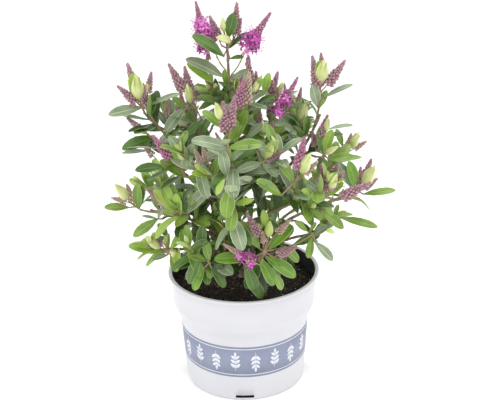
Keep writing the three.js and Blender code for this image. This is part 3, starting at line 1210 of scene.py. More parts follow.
@dataclass(frozen=True)
class Limb:
    """Centre line and radius of a trunk or bough, root end first."""

    line: np.ndarray
    radii: np.ndarray

    @classmethod
    def traced(cls, node: str, root_near: Point | None = None, slices: int = 26) -> Limb:
        """Follows a node of the frame from its root to its tip, slice by slice.

        Args:
            node: the node's name.
            root_near: a point near its root; without it the root is the lower end.
            slices: how many slices are taken.

        Returns:
            The limb.
        """
        mesh = frame["nodes"][node].data
        points = np.array([v.co for v in mesh.vertices], float)
        ends = np.array([e.vertices for e in mesh.edges])
        middle = points.mean(0)
        chord = np.linalg.svd(points - middle, full_matrices=False)[2][0]
        if chord[2] < 0:
            chord = -chord
        if root_near is not None and (root_near - middle) @ chord > 0:
            chord = -chord
        reach = (points - middle) @ chord
        a, b = reach[ends[:, 0]], reach[ends[:, 1]]
        line, cuts = [], []
        for share in np.linspace(0.02, 0.98, slices):
            level = blend(reach.min(), reach.max(), share)
            hit = (a - level) * (b - level) < 0
            weight = ((level - a[hit]) / (b[hit] - a[hit]))[:, None]
            cut = points[ends[hit, 0]] * (1 - weight) + points[ends[hit, 1]] * weight
            line.append((cut.max(0) + cut.min(0) + 2 * cut.mean(0)) / 4)
            cuts.append(cut)
        line = np.array(line)
        tangents = np.gradient(line, axis=0)
        tangents /= np.linalg.norm(tangents, axis=1)[:, None]
        radii = []
        for centre, tangent, cut in zip(line, tangents, cuts):
            off = cut - centre
            off -= np.outer(off @ tangent, tangent)
            radii.append(float(np.linalg.norm(off, axis=1).mean()))
        return cls(line, np.array(radii))

    @property
    def length(self) -> float:
        """Length along the centre line."""
        return float(np.linalg.norm(np.diff(self.line, axis=0), axis=1).sum())

    def at(self, share: float) -> tuple[Point, Point, float]:
        """Point, heading and radius a share of the way along.

        Args:
            share: 0 at the root and 1 at the tip.

        Returns:
            The point, the heading at length one, and the radius.
        """
        steps = np.linalg.norm(np.diff(self.line, axis=0), axis=1)
        run = np.concatenate(([0], np.cumsum(steps))) / steps.sum()
        point = np.array([np.interp(share, run, self.line[:, k]) for k in range(3)])
        ahead = np.array([np.interp(min(share + 0.03, 1), run, self.line[:, k]) for k in range(3)])
        behind = np.array([np.interp(max(share - 0.03, 0), run, self.line[:, k]) for k in range(3)])
        return point, unit(ahead - behind), float(np.interp(share, run, self.radii))

    def nearest(self, point: Point) -> float:
        """The share of the way along that comes nearest to a point."""
        shares = np.linspace(0, 1, 101)
        gaps = [np.linalg.norm(self.at(float(s))[0] - point) for s in shares]
        return float(shares[int(np.argmin(gaps))])

    def lengthened(self, root: float, tip: float) -> Limb:
        """The limb carried on straight past its ends.

        Args:
            root: how far past the root.
            tip: how far past the tip.

        Returns:
            The longer limb.
        """
        start, start_way, _ = self.at(0)
        end, end_way, _ = self.at(1)
        line = np.vstack([start - start_way * root, self.line, end + end_way * tip])
        radii = np.concatenate([[self.radii[0]], self.radii, [self.radii[-1]]])
        return Limb(line, radii)


@dataclass
class Bark:
    """Bark over a limb: rings of old leaf scars in crossed pairs, and shallow furrows."""

    sides: int
    ring_step: float = 1.1 * MM
    scar_gap: float = 10.5 * MM
    scar_rise: float = 0.2
    ring_rise: float = 0.12
    furrow: float = 0.12

    def relief(self, run: float, turn: float) -> float:
        """How much the radius swells at a place.

        Args:
            run: distance along the limb.
            turn: angle round it.

        Returns:
            The factor on the radius.
        """
        number = round(run / self.scar_gap)
        off = (run - number * self.scar_gap) / MM
        facing = abs(math.cos(turn - number * math.pi / 2))
        ring = self.ring_rise * math.exp(-((off / 0.9) ** 2))
        scar = self.scar_rise * math.exp(-((off / 1.5) ** 2)) * facing**8
        rough = noise.noise(Vector((2.6 * math.cos(turn), 2.6 * math.sin(turn), run / (5 * MM))))
        return 1 + ring + scar + self.furrow * rough

    def over(self, limb: Limb) -> bmesh.types.BMesh:
        """Covers a limb, ring after ring.

        Args:
            limb: the limb.

        Returns:
            The closed skin.
        """
        bm = bmesh.new()
        count = max(8, round(limb.length / self.ring_step))
        made = bmesh.ops.create_circle(bm, cap_ends=True, segments=self.sides, radius=1)
        ring = made["verts"]
        edges = [e for e in bm.edges if e.is_boundary]
        sideways = across(limb.at(0)[1], np.array((1.0, 0.3, 0.1)))
        for step in range(count + 1):
            share = step / count
            centre, way, radius = limb.at(share)
            sideways = across(way, sideways)
            if step:
                out = bmesh.ops.extrude_edge_only(bm, edges=edges)
                ring = self.in_order([v for v in out["geom"] if isinstance(v, bmesh.types.BMVert)], ring)
                edges = [e for e in out["geom"] if isinstance(e, bmesh.types.BMEdge) and e.is_boundary]
            for number, vert in enumerate(ring):
                turn = math.tau * number / self.sides
                wide = radius * self.relief(share * limb.length, turn)
                vert.co = Vector(centre + wide * turned(sideways, way, turn))
        bmesh.ops.contextual_create(bm, geom=edges)
        bmesh.ops.recalc_face_normals(bm, faces=bm.faces)
        return bm

    @staticmethod
    def in_order(fresh: list[bmesh.types.BMVert], last: list[bmesh.types.BMVert]) -> list[bmesh.types.BMVert]:
        """The new ring's vertices in the order of the ring they grew from.

        Args:
            fresh: the new vertices.
            last: the ring before, in order.

        Returns:
            The new vertices, each beside its own.
        """
        new = set(fresh)
        return [next(e.other_vert(v) for e in v.link_edges if e.other_vert(v) in new) for v in last]


class Limbs:
    """The trunk and the boughs, as limbs and as bark."""

    crest_stalks = ("bough_crest_left", "bough_crest_right")
    leader_foot = 347 * MM  # above it the trunk is a bare leader
    slimness = 0.8  # of the bark's radius beside the frame's limb, which stands for bark and leaf bases
    leader_slimness = 0.68  # the same at the leader

    def __init__(self) -> None:
        """Traces every limb of the frame."""
        self.trunk = Limb.traced("trunk", slices=60)
        self.boughs: dict[str, Limb] = {}
        for node in sorted(frame["nodes"]):
            if node.startswith("bough_"):
                low, high = (np.array(c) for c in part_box(node))
                middle = (low + high) / 2
                near = self.trunk.at(self.trunk.nearest(middle))[0] * (1, 1, 0) + UP * low[2]
                self.boughs[node] = Limb.traced(node, near)

    def carrier(self, mass: str, centre: Point) -> Limb:
        """The limb that a mass of foliage grows on.

        Args:
            mass: the mass's name without its prefix.
            centre: the middle of the mass.

        Returns:
            Its own bough, or the limb that runs through it.
        """
        own = self.boughs.get(f"bough_{mass}")
        if own:
            return own
        limbs = [self.trunk, *self.boughs.values()]
        return min(limbs, key=lambda limb: float(np.linalg.norm(limb.at(limb.nearest(centre))[0] - centre)))

    def build(self) -> None:
        """Makes the bark of the trunk, the boughs and the crest's green stalks."""
        longer = self.trunk.lengthened(2 * MM, 10 * MM)
        slim = [blend(1, self.leader_slimness, smooth(z / self.leader_foot - 0.2)) for z in longer.line[:, 2]]
        trunk = Bark(18).over(Limb(longer.line, longer.radii * slim))
        hand_over(bm_mesh("trunk_bark", trunk), [BARK.material()], ["trunk"])
        groups = {
            "bough_bark": ([n for n in self.boughs if n not in self.crest_stalks], YOUNG_BARK, "bark", 10),
            "crest_stalks": (list(self.crest_stalks), GREEN_STEM, "green_stem", 8),
        }
        for name, (nodes, finish, slot, sides) in groups.items():
            spray = Spray(name, slot, [finish], nodes)
            for node in nodes:
                limb = self.boughs[node].lengthened(2.5 * MM, 5 * MM if node in self.crest_stalks else 2 * MM)
                skin = Bark(sides).over(Limb(limb.line, limb.radii * self.slimness))
                spray.add(Shape.taken(skin), np.eye(4))
            spray.build()


# ---- growth


@dataclass(frozen=True)
class Tip:
    """What one shoot bears at its end."""

    spikes: int = 0
    pod: float = 14.0  # length of its closed tip, millimetres
    bud: Bud = DULL


@dataclass(frozen=True)
class Habit:
    """How one mass of foliage grows: its leaf colours and the shoots that chance adds to it."""

    old: Tone = GREEN
    new: Tone = FRESH
    more: int = 1  # leafy shoots set by chance
    spikes: int = 0  # most flower spikes on each of those
    droop: float = 0.0  # how much its oldest leaves hang


HABITS: dict[str, Habit] = {
    "crest_left": Habit(more=0),
    "crest_right": Habit(more=0),
    "crest_tip": Habit(more=0),
    "upper_left": Habit(SLATE, GREEN, 0),
    "upper_mid": Habit(SLATE, GREEN),
    "upper_right": Habit(SLATE, GREEN, 0),
    "left_top": Habit(SLATE, more=0),
    "left_inner": Habit(SLATE, GREEN, 0),
    "left_mid": Habit(SLATE, more=0),
    "centre_left": Habit(SLATE, GREEN, droop=0.15),
    "centre_front": Habit(SLATE, GREEN, 0, droop=0.15),
    "centre_right": Habit(SLATE, GREEN, droop=0.15),
    "right_top": Habit(SLATE, GREEN, 0),
    "right_mid": Habit(DEEP, more=0),
    "right_outer": Habit(more=0),
    "right_tip": Habit(more=0),
    "right_front": Habit(droop=0.15),
    "right_low": Habit(GREEN, GREEN, 0),
    "left_low_tip": Habit(more=0),
    "left_low": Habit(more=0, droop=0.1),
    "left_bottom": Habit(droop=0.15),
    "front_left_low": Habit(DEEP, GREEN, droop=0.25),
    "front_low": Habit(DEEP, more=0, droop=0.25),
    "front_mid": Habit(DEEP, GREEN, 0, droop=0.25),
    "back_top": Habit(SLATE, GREEN, 4, 1),
    "back_left": Habit(SLATE, GREEN, 5, 3),
    "back_right": Habit(SLATE, GREEN, 5, 2),
    "back_low_left": Habit(more=3),
    "back_low": Habit(DEEP, more=5, spikes=3),
    "back_low_right": Habit(more=4, spikes=3),
}


class Part(Enum):
    """What a listed sprig is."""

    LEAF = "leaf"
    NARROW_LEAF = "narrow leaf"
    BROAD_LEAF = "broad leaf"
    POD = "pod"
    BARE_POD = "pod without its outer pair"
    SPIKE = "spike"
    SHORT_SPIKE = "short spike"
    BLOOM = "bloom"
    PART_BLOOM = "part bloom"
    ROUND_BLOOM = "round bloom"


LEAF, NARROW_LEAF, BROAD_LEAF, POD, BARE_POD, SPIKE, SHORT_SPIKE, BLOOM, PART_BLOOM, ROUND_BLOOM = Part


@dataclass(frozen=True)
class Sprig:
    """One part listed for a shoot. Its place and its lean are those seen from the front."""

    part: Part
    lean: float  # degrees from upright, to the right
    length: float  # millimetres
    foot: tuple[float, ...] = (0, 0)  # to the right of the shoot's end, above it and in front, millimetres
    tone: Tone = GREEN
    ahead: float = 6.0  # degrees that it leans out to the front
    show: float = 1.0  # how far the upper side of a leaf turns to the front
    bud: Bud = DULL

    @property
    def way(self) -> Point:
        """Where it points.

        Returns:
            The direction, at length one.
        """
        lean, ahead = math.radians(self.lean), math.radians(self.ahead)
        level = math.cos(ahead)
        return np.array((math.sin(lean) * level, -math.sin(ahead), math.cos(lean) * level))


@dataclass(frozen=True)
class Cluster:
    """A listed shoot: the mass it belongs to, where it ends, and what it bears there."""

    mass: str
    end: tuple[float, float, float]  # millimetres
    sprigs: tuple[Sprig, ...]
    lean: float = 0.0  # of the stem where it ends
    pairs: int = 9  # most leaf pairs down its stem


CREST = (
    Sprig(BLOOM, -12, 58, (-19, -8), bud=BRIGHT),
    Sprig(ROUND_BLOOM, 36, 55, (13, -9), bud=BRIGHT),
    Sprig(BARE_POD, -66, 22, (4, 9, 4), ahead=38),
    Sprig(BARE_POD, -4, 17, (-3, 17)),
    Sprig(BROAD_LEAF, 14, 27, (1, 12, 2), DEEP, show=2),
    Sprig(SHORT_SPIKE, 9, 37, (6, 8, -4), ahead=-3),
    Sprig(SHORT_SPIKE, 24, 25, (6, 7, -2)),
    Sprig(SPIKE, -22, 32, (-6, 2, -5), ahead=-8),
    Sprig(LEAF, -51, 40, (-4, -5, 12), DEEP, 10),
    Sprig(LEAF, 52, 27, (2, 0), DEEP, -8, 0.3),
    Sprig(LEAF, 76, 16, (2, -11), DEEP, 18),
    Sprig(LEAF, -59, 46, (-4, -31), SLATE, 8, 0.6),
    Sprig(LEAF, -47, 34, (-17, -36), FRESH, 4),
    Sprig(LEAF, -7, 19, (-2, -39), ahead=20),
    Sprig(LEAF, 60, 24, (3, -33), SLATE, 14),
    Sprig(SHORT_SPIKE, -4, 13, (-20, -17, -8)),
    Sprig(SHORT_SPIKE, 4, 14, (21, -24, -8)),
)

CLUSTERS: tuple[Cluster, ...] = (
    Cluster("left_top", (-103, -8, 324), (
        Sprig(POD, -4, 32, (-2, 7)),
        Sprig(LEAF, -9, 32, (-4, 5), FRESH, -5),
        Sprig(LEAF, 20, 23, (-1, 5), LIME),
        Sprig(SPIKE, -7, 28, (5, -2), ahead=14),
        Sprig(SPIKE, -41, 33),
        Sprig(SHORT_SPIKE, 13, 29, (5, 8), ahead=-4),
        Sprig(SPIKE, -14, 47, ahead=-7),
        Sprig(LEAF, -98, 36, (0, 0), SLATE, 10),
        Sprig(NARROW_LEAF, 66, 36, (8, 2), SLATE, 4, 0.4),
        Sprig(LEAF, 16, 28, (6, -12), DEEP, -8),
    )),
    Cluster("left_mid", (-94, -14, 292), (
        Sprig(POD, -60, 16, (-4, 5)),
        Sprig(SHORT_SPIKE, -52, 22, (-8, 8), ahead=-8),
        Sprig(LEAF, -108, 38, (4, 2), DEEP, 8),
        Sprig(NARROW_LEAF, -93, 30, (-3, -14), SLATE, 0, 0.3),
        Sprig(SHORT_SPIKE, -38, 22, (4, -24), bud=PALE),
    ), -40),
    Cluster("left_mid", (-62, -40, 267), (
        Sprig(POD, 0, 22, (1, 8)),
        Sprig(LEAF, -17, 25, (-2, 7), FRESH, 0),
        Sprig(LEAF, 19, 28, (4, 2), SLATE),
        Sprig(SPIKE, -32, 36, (-8, 6), ahead=9, bud=BRIGHT),
        Sprig(LEAF, -94, 31, (-18, 3), DEEP, 8),
        Sprig(LEAF, -48, 32, (2, -10)),
        Sprig(LEAF, 91, 26, (4, -10), ahead=13),
    )),
    Cluster("centre_left", (-29, -66, 268), (
        Sprig(LEAF, -48, 25, (0, 0), LIME, 19),
        Sprig(POD, -62, 16, (-1, 2), ahead=15),
        Sprig(LEAF, 21, 25, ahead=9),
        Sprig(SHORT_SPIKE, -23, 22, (-9, 8), bud=PALE),
        Sprig(SHORT_SPIKE, -14, 23, (-4, 8), bud=PALE),
        Sprig(LEAF, -70, 25, (0, 0), FRESH, 24),
        Sprig(LEAF, 19, 21, (18, 9), FRESH, 12, 0.6),
    ), -15),
    Cluster("centre_front", (-13, -82, 303), (
        Sprig(POD, -19, 20, (-5, 29), ahead=-4),
        Sprig(SPIKE, -5, 37, (-1, 10)),
        Sprig(SPIKE, 6, 37, (1, 15), ahead=-4),
        Sprig(LEAF, 0, 24, (-2, 4), SLATE, 58),
        Sprig(LEAF, -71, 38, (0, 0), SLATE),
        Sprig(LEAF, 80, 35),
        Sprig(LEAF, -8, 30, (-2, -30), SLATE),
    )),
    Cluster("upper_mid", (-3, -40, 321), (
        Sprig(SPIKE, 13, 38, (-2, 2), bud=BRIGHT),
        Sprig(SHORT_SPIKE, 5, 42, (9, 3), ahead=-6, bud=PALE),
        Sprig(LEAF, 19, 37, (-2, -25), ahead=9, show=0.5),
        Sprig(LEAF, -45, 29, (-15, -11)),
        Sprig(LEAF, 44, 24, (9, -23), SLATE),
    )),
    Cluster("left_inner", (-47, 0, 320), (
        Sprig(POD, -8, 24, (-5, 5), ahead=10),
        Sprig(SPIKE, -28, 41, (-7, 10), ahead=0),
        Sprig(SPIKE, -18, 36, (-2, 8), ahead=-4),
        Sprig(SHORT_SPIKE, 7, 26),
        Sprig(LEAF, -138, 35, (-11, 1), SLATE, 14),
        Sprig(LEAF, -41, 21, (-11, -1), ahead=11),
        Sprig(LEAF, -129, 23, (6, -14), DEEP, 19),
    ), -15),
    Cluster("left_inner", (-78, 2, 304), (
        Sprig(SHORT_SPIKE, 2, 24, (0, 1), bud=PALE),
        Sprig(LEAF, 12, 27, (1, -2), SLATE, -6),
        Sprig(LEAF, -24, 20, (-1, -4), SLATE, 10),
        Sprig(LEAF, -82, 25, (-2, -8), DEEP, 12),
    ), -30, 2),
    Cluster("upper_left", (-23, 0, 330), (
        Sprig(LEAF, 57, 24, (-21, -12), DEEP),
        Sprig(LEAF, -148, 24, (-6, -16), DEEP, 10),
        Sprig(POD, -8, 19, ahead=12),
        Sprig(LEAF, -55, 29, ahead=4),
        Sprig(LEAF, 43, 24, (0, 0), DEEP, 0, 0.5),
        Sprig(LEAF, 88, 15, (3, 2), ahead=24),
        Sprig(SHORT_SPIKE, -35, 23, ahead=-10),
    )),
    Cluster("upper_mid", (15, -6, 329), (
        Sprig(POD, 17, 18, (3, 11)),
        Sprig(LEAF, 14, 24, (10, 6), FRESH, -3),
        Sprig(SHORT_SPIKE, -8, 43, ahead=-3),
        Sprig(LEAF, -15, 20, (-3, 14)),
        Sprig(SHORT_SPIKE, 5, 29, ahead=-8),
        Sprig(LEAF, 59, 25, (-1, -7), DEEP, 7, 0.5),
    ), 10),
    Cluster("upper_right", (39, 4, 324), (
        Sprig(POD, 16, 16, (2, 7)),
        Sprig(LEAF, -12, 21, (0, 0), FRESH, 0),
        Sprig(SHORT_SPIKE, 15, 29, (-7, 3), ahead=-3),
        Sprig(SHORT_SPIKE, -18, 30),
        Sprig(LEAF, 70, 21, (7, -10), DEEP, 0, 0.5),
    ), 10),
    Cluster("upper_right", (34, -14, 309), (
        Sprig(PART_BLOOM, 31, 52, bud=BRIGHT),
        Sprig(POD, -3, 23, (-10, -19), ahead=14),
        Sprig(SHORT_SPIKE, -6, 28, (-12, -16), ahead=9),
        Sprig(LEAF, 48, 23, (-4, -20), ahead=14),
        Sprig(NARROW_LEAF, 75, 22, (0, -19), DEEP, -8, 0.4),
        Sprig(NARROW_LEAF, 126, 26, (3, -23), DEEP, -6, 0.5),
    ), 15),
    Cluster("centre_right", (21, -66, 281), (
        Sprig(POD, 20, 24, (4, 4)),
        Sprig(LEAF, 22, 21, (8, 5), LIME, 0, 0.5),
        Sprig(SHORT_SPIKE, 61, 23),
        Sprig(LEAF, -101, 29, (0, 0), SLATE, 20),
        Sprig(LEAF, 127, 22, (0, 0), SLATE, 27),
        Sprig(LEAF, -113, 27, (-6, 13), DEEP, 0, 0.4),
    ), 10),
    Cluster("right_top", (83, -12, 333), (
        Sprig(POD, 8, 27, (1, 15)),
        Sprig(LEAF, 2, 26, (-1, 13), FRESH, -3),
        Sprig(SPIKE, -9, 42, ahead=-3),
        Sprig(SPIKE, 40, 39, (2, 6), ahead=2),
        Sprig(SHORT_SPIKE, 3, 26, (2, 19), ahead=-13),
        Sprig(BROAD_LEAF, -13, 27, (-2, -11), SLATE, 11),
        Sprig(LEAF, 23, 20, (0, -12), ahead=-8),
        Sprig(NARROW_LEAF, 64, 33, (5, -1), SLATE, -3, 0.4),
    ), pairs=0),
    Cluster("right_mid", (63, 8, 299), (
        Sprig(POD, 20, 25, (0, 1), ahead=4),
        Sprig(LEAF, 3, 22, ahead=-6),
        Sprig(LEAF, 10, 26, (5, -17), ahead=9),
        Sprig(LEAF, -54, 20, (0, 0), DEEP, 0, 0.5),
    ), 10),
    Cluster("right_mid", (88, -14, 270), (
        Sprig(LEAF, -9, 31, (0, 0), DEEP, 4),
        Sprig(LEAF, 15, 30, (0, 0), FRESH, 8),
        Sprig(POD, 55, 20, ahead=18),
        Sprig(SPIKE, 16, 31, (-6, 12), ahead=-5, bud=BRIGHT),
        Sprig(POD, 9, 16, (2, 25), ahead=-11),
        Sprig(SHORT_SPIKE, -12, 21, (-8, 4), ahead=-4),
        Sprig(NARROW_LEAF, 79, 26, (5, 28), SLATE, 0, 0.4),
        Sprig(LEAF, 79, 27, (5, -6), ahead=12),
    )),
    Cluster("right_outer", (114, 18, 259), (
        Sprig(POD, 27, 23, (5, 5)),
        Sprig(SHORT_SPIKE, 16, 23, bud=PALE),
        Sprig(SHORT_SPIKE, 56, 21, (5, 2), bud=PALE),
        Sprig(LEAF, -19, 21, (-3, 8), ahead=-4),
    ), 25),
    Cluster("right_tip", (127, -9, 224), (
        Sprig(POD, 27, 29, (4, 6)),
        Sprig(SPIKE, 23, 37, ahead=-6),
        Sprig(NARROW_LEAF, 80, 35, (5, -3), GREEN, 7),
        Sprig(SHORT_SPIKE, 58, 24, ahead=-5),
        Sprig(SHORT_SPIKE, 3, 27, ahead=0),
        Sprig(LEAF, -14, 34, (-3, 3), VIVID, 2),
        Sprig(LEAF, -26, 31, (-9, 6), SLATE, -3),
    ), 25, 1),
    Cluster("right_front", (53, -76, 263), (
        Sprig(POD, 21, 27, (7, 9), ahead=12),
        Sprig(SPIKE, 7, 42, (3, 5), bud=BRIGHT),
        Sprig(SHORT_SPIKE, 42, 25, (6, 4), ahead=10, bud=PALE),
        Sprig(LEAF, -32, 28, ahead=0),
        Sprig(LEAF, -51, 33, (-13, -14), ahead=12),
    )),
    Cluster("right_front", (85, -78, 248), (
        Sprig(POD, 21, 21, (4, 6)),
        Sprig(SHORT_SPIKE, 35, 31, ahead=0),
        Sprig(SHORT_SPIKE, 5, 20, ahead=-6),
        Sprig(SHORT_SPIKE, -8, 28, (0, 4), ahead=-12, bud=BRIGHT),
        Sprig(LEAF, 46, 22, (2, 0), FRESH, 4),
        Sprig(LEAF, -64, 25, (-3, -2), FRESH, 9),
        Sprig(SPIKE, 64, 41, (8, -6), ahead=4),
        Sprig(LEAF, -43, 26, (-2, -4), SLATE, -4),
    ), 15),
    Cluster("right_low", (99, -24, 202), (
        Sprig(NARROW_LEAF, 104, 42, (7, -2), GREEN, 4, 0.7),
        Sprig(LEAF, 126, 31, (-14, 7), ahead=18),
        Sprig(LEAF, 63, 15, (0, 0), FRESH, 8),
        Sprig(LEAF, 20, 14, ahead=-9),
    ), 50),
    Cluster("front_low", (75, -44, 191), (
        Sprig(BROAD_LEAF, 44, 23, (0, -2), SLATE, 26),
        Sprig(LEAF, -168, 24, (-1, -4), ahead=15),
        Sprig(LEAF, 135, 28, (2, -10), SLATE, 12),
        Sprig(LEAF, -47, 19, (-6, 3), ahead=10),
        Sprig(LEAF, 34, 13, (-4, 2), ahead=-7),
        Sprig(LEAF, 109, 15, (9, 6), LIME),
    ), 45),
    Cluster("left_low_tip", (-117, -4, 210), (
        Sprig(POD, -34, 25, (-7, 8)),
        Sprig(SHORT_SPIKE, -19, 26, ahead=-4, bud=PALE),
        Sprig(SHORT_SPIKE, -68, 22, (-4, 4), bud=PALE),
        Sprig(LEAF, -83, 27, (-7, -1), ahead=11),
        Sprig(LEAF, 1, 29, (3, -2), ahead=3, show=0.6),
        Sprig(LEAF, 12, 28, (4, -2), DEEP, 0, 0.6),
    ), -35, 0),
    Cluster("left_low_tip", (-92, -16, 200), (
        Sprig(LEAF, -121, 33, (0, 0), GREEN, 17),
        Sprig(NARROW_LEAF, -76, 18, (0, 0), SLATE, 0, 0.4),
        Sprig(LEAF, 25, 15, (0, 0), SLATE, -14),
    ), -60, 0),
    Cluster("left_low", (-74, -32, 217), (
        Sprig(LEAF, -38, 32, (0, 0), LIME, 7),
        Sprig(LEAF, -18, 33, (0, 0), FRESH, 0),
        Sprig(LEAF, 0, 29, ahead=-8),
        Sprig(LEAF, 27, 23, ahead=0),
        Sprig(SHORT_SPIKE, -51, 35, ahead=-7),
        Sprig(LEAF, 37, 38, (15, -4), SLATE),
        Sprig(LEAF, -22, 23, (15, -5), DEEP, -3),
    ), pairs=1),
    Cluster("left_bottom", (-84, -30, 169), (
        Sprig(POD, -45, 23, (-6, 2)),
        Sprig(LEAF, -71, 38, (-4, -3), FRESH),
        Sprig(SHORT_SPIKE, -74, 24, (-10, 2), ahead=-4, bud=PALE),
        Sprig(SHORT_SPIKE, -32, 23, ahead=0),
        Sprig(LEAF, -98, 20, (3, 14), DEEP, -12),
        Sprig(BROAD_LEAF, -33, 19, (3, 15), SLATE, -9),
        Sprig(LEAF, 39, 31, (5, 1), FRESH, 8),
        Sprig(LEAF, -96, 18, (2, -6), SLATE, 18),
        Sprig(POD, 133, 19, (5, 1), ahead=31),
        Sprig(BROAD_LEAF, 159, 20, (5, -6), FRESH, 25),
        Sprig(SHORT_SPIKE, 145, 16, (12, -2), ahead=21),
    ), -40),
    Cluster("front_left_low", (-58, -62, 181), (
        Sprig(LEAF, 51, 28, (0, 0), DEEP, 17),
        Sprig(LEAF, 148, 30, (0, 0), VIVID, 20),
        Sprig(LEAF, -13, 27, (0, 0), VIVID, 0),
        Sprig(LEAF, 120, 24, (4, 4), DEEP, 11),
    ), -20, 2),
    Cluster("front_left_low", (-36, -68, 171), (
        Sprig(LEAF, 146, 27, (2, -6), DEEP, 8),
        Sprig(LEAF, -154, 28, (-6, -6), VIVID, 8),
        Sprig(LEAF, 76, 26, (2, 0), DEEP, 10),
        Sprig(LEAF, -62, 24, (-2, 2), GREEN, 10),
        Sprig(LEAF, -8, 24, (0, 2), GREEN, 4),
    ), -10, 1),
    Cluster("front_mid", (-12, -90, 266), (
        Sprig(BROAD_LEAF, -171, 33, (0, 0), GREEN, 21),
        Sprig(BROAD_LEAF, -168, 27, (4, -21), GREEN, 21),
        Sprig(LEAF, 71, 21, (4, -20), FRESH, 16),
        Sprig(LEAF, -150, 18, (-5, 8), FRESH, 21),
        Sprig(LEAF, 67, 25, (0, 0), SLATE, 9),
    ), 0),
    Cluster("front_low", (22, -78, 187), (
        Sprig(BARE_POD, 6, 21, (4, 17, 2)),
        Sprig(SPIKE, -29, 32, (-2, 14, 2)),
        Sprig(SHORT_SPIKE, 49, 24, (9, 17), ahead=-2, bud=PALE),
        Sprig(SHORT_SPIKE, -12, 17, (1, 8, 3), bud=PALE),
        Sprig(PART_BLOOM, -57, 44, (-5, -13, 5), ahead=4, bud=PALE),
        Sprig(SPIKE, 64, 26, (9, -5, 3), ahead=8),
        Sprig(LEAF, -84, 38, (-15, -8), VIVID, 6),
        Sprig(LEAF, 152, 37, (-6, -7), VIVID, 2),
        Sprig(LEAF, 124, 39, (1, -6), VIVID, 6),
        Sprig(LEAF, 161, 37, (-21, -13), DEEP, -2),
        Sprig(LEAF, 148, 35, (-20, -30, -6), DEEP, -8),
        Sprig(LEAF, 158, 24, (10, -26, -4), GREEN, -2),
        Sprig(BROAD_LEAF, 139, 23, (21, 2, -6), GREEN, 0),
        Sprig(LEAF, -33, 36, (-5, 4), GREEN, -6),
        Sprig(LEAF, 44, 34, (5, 3), VIVID, -8),
        Sprig(LEAF, -8, 20, (2, 26, -3), FRESH, -2),
    ), 10, 0),
)


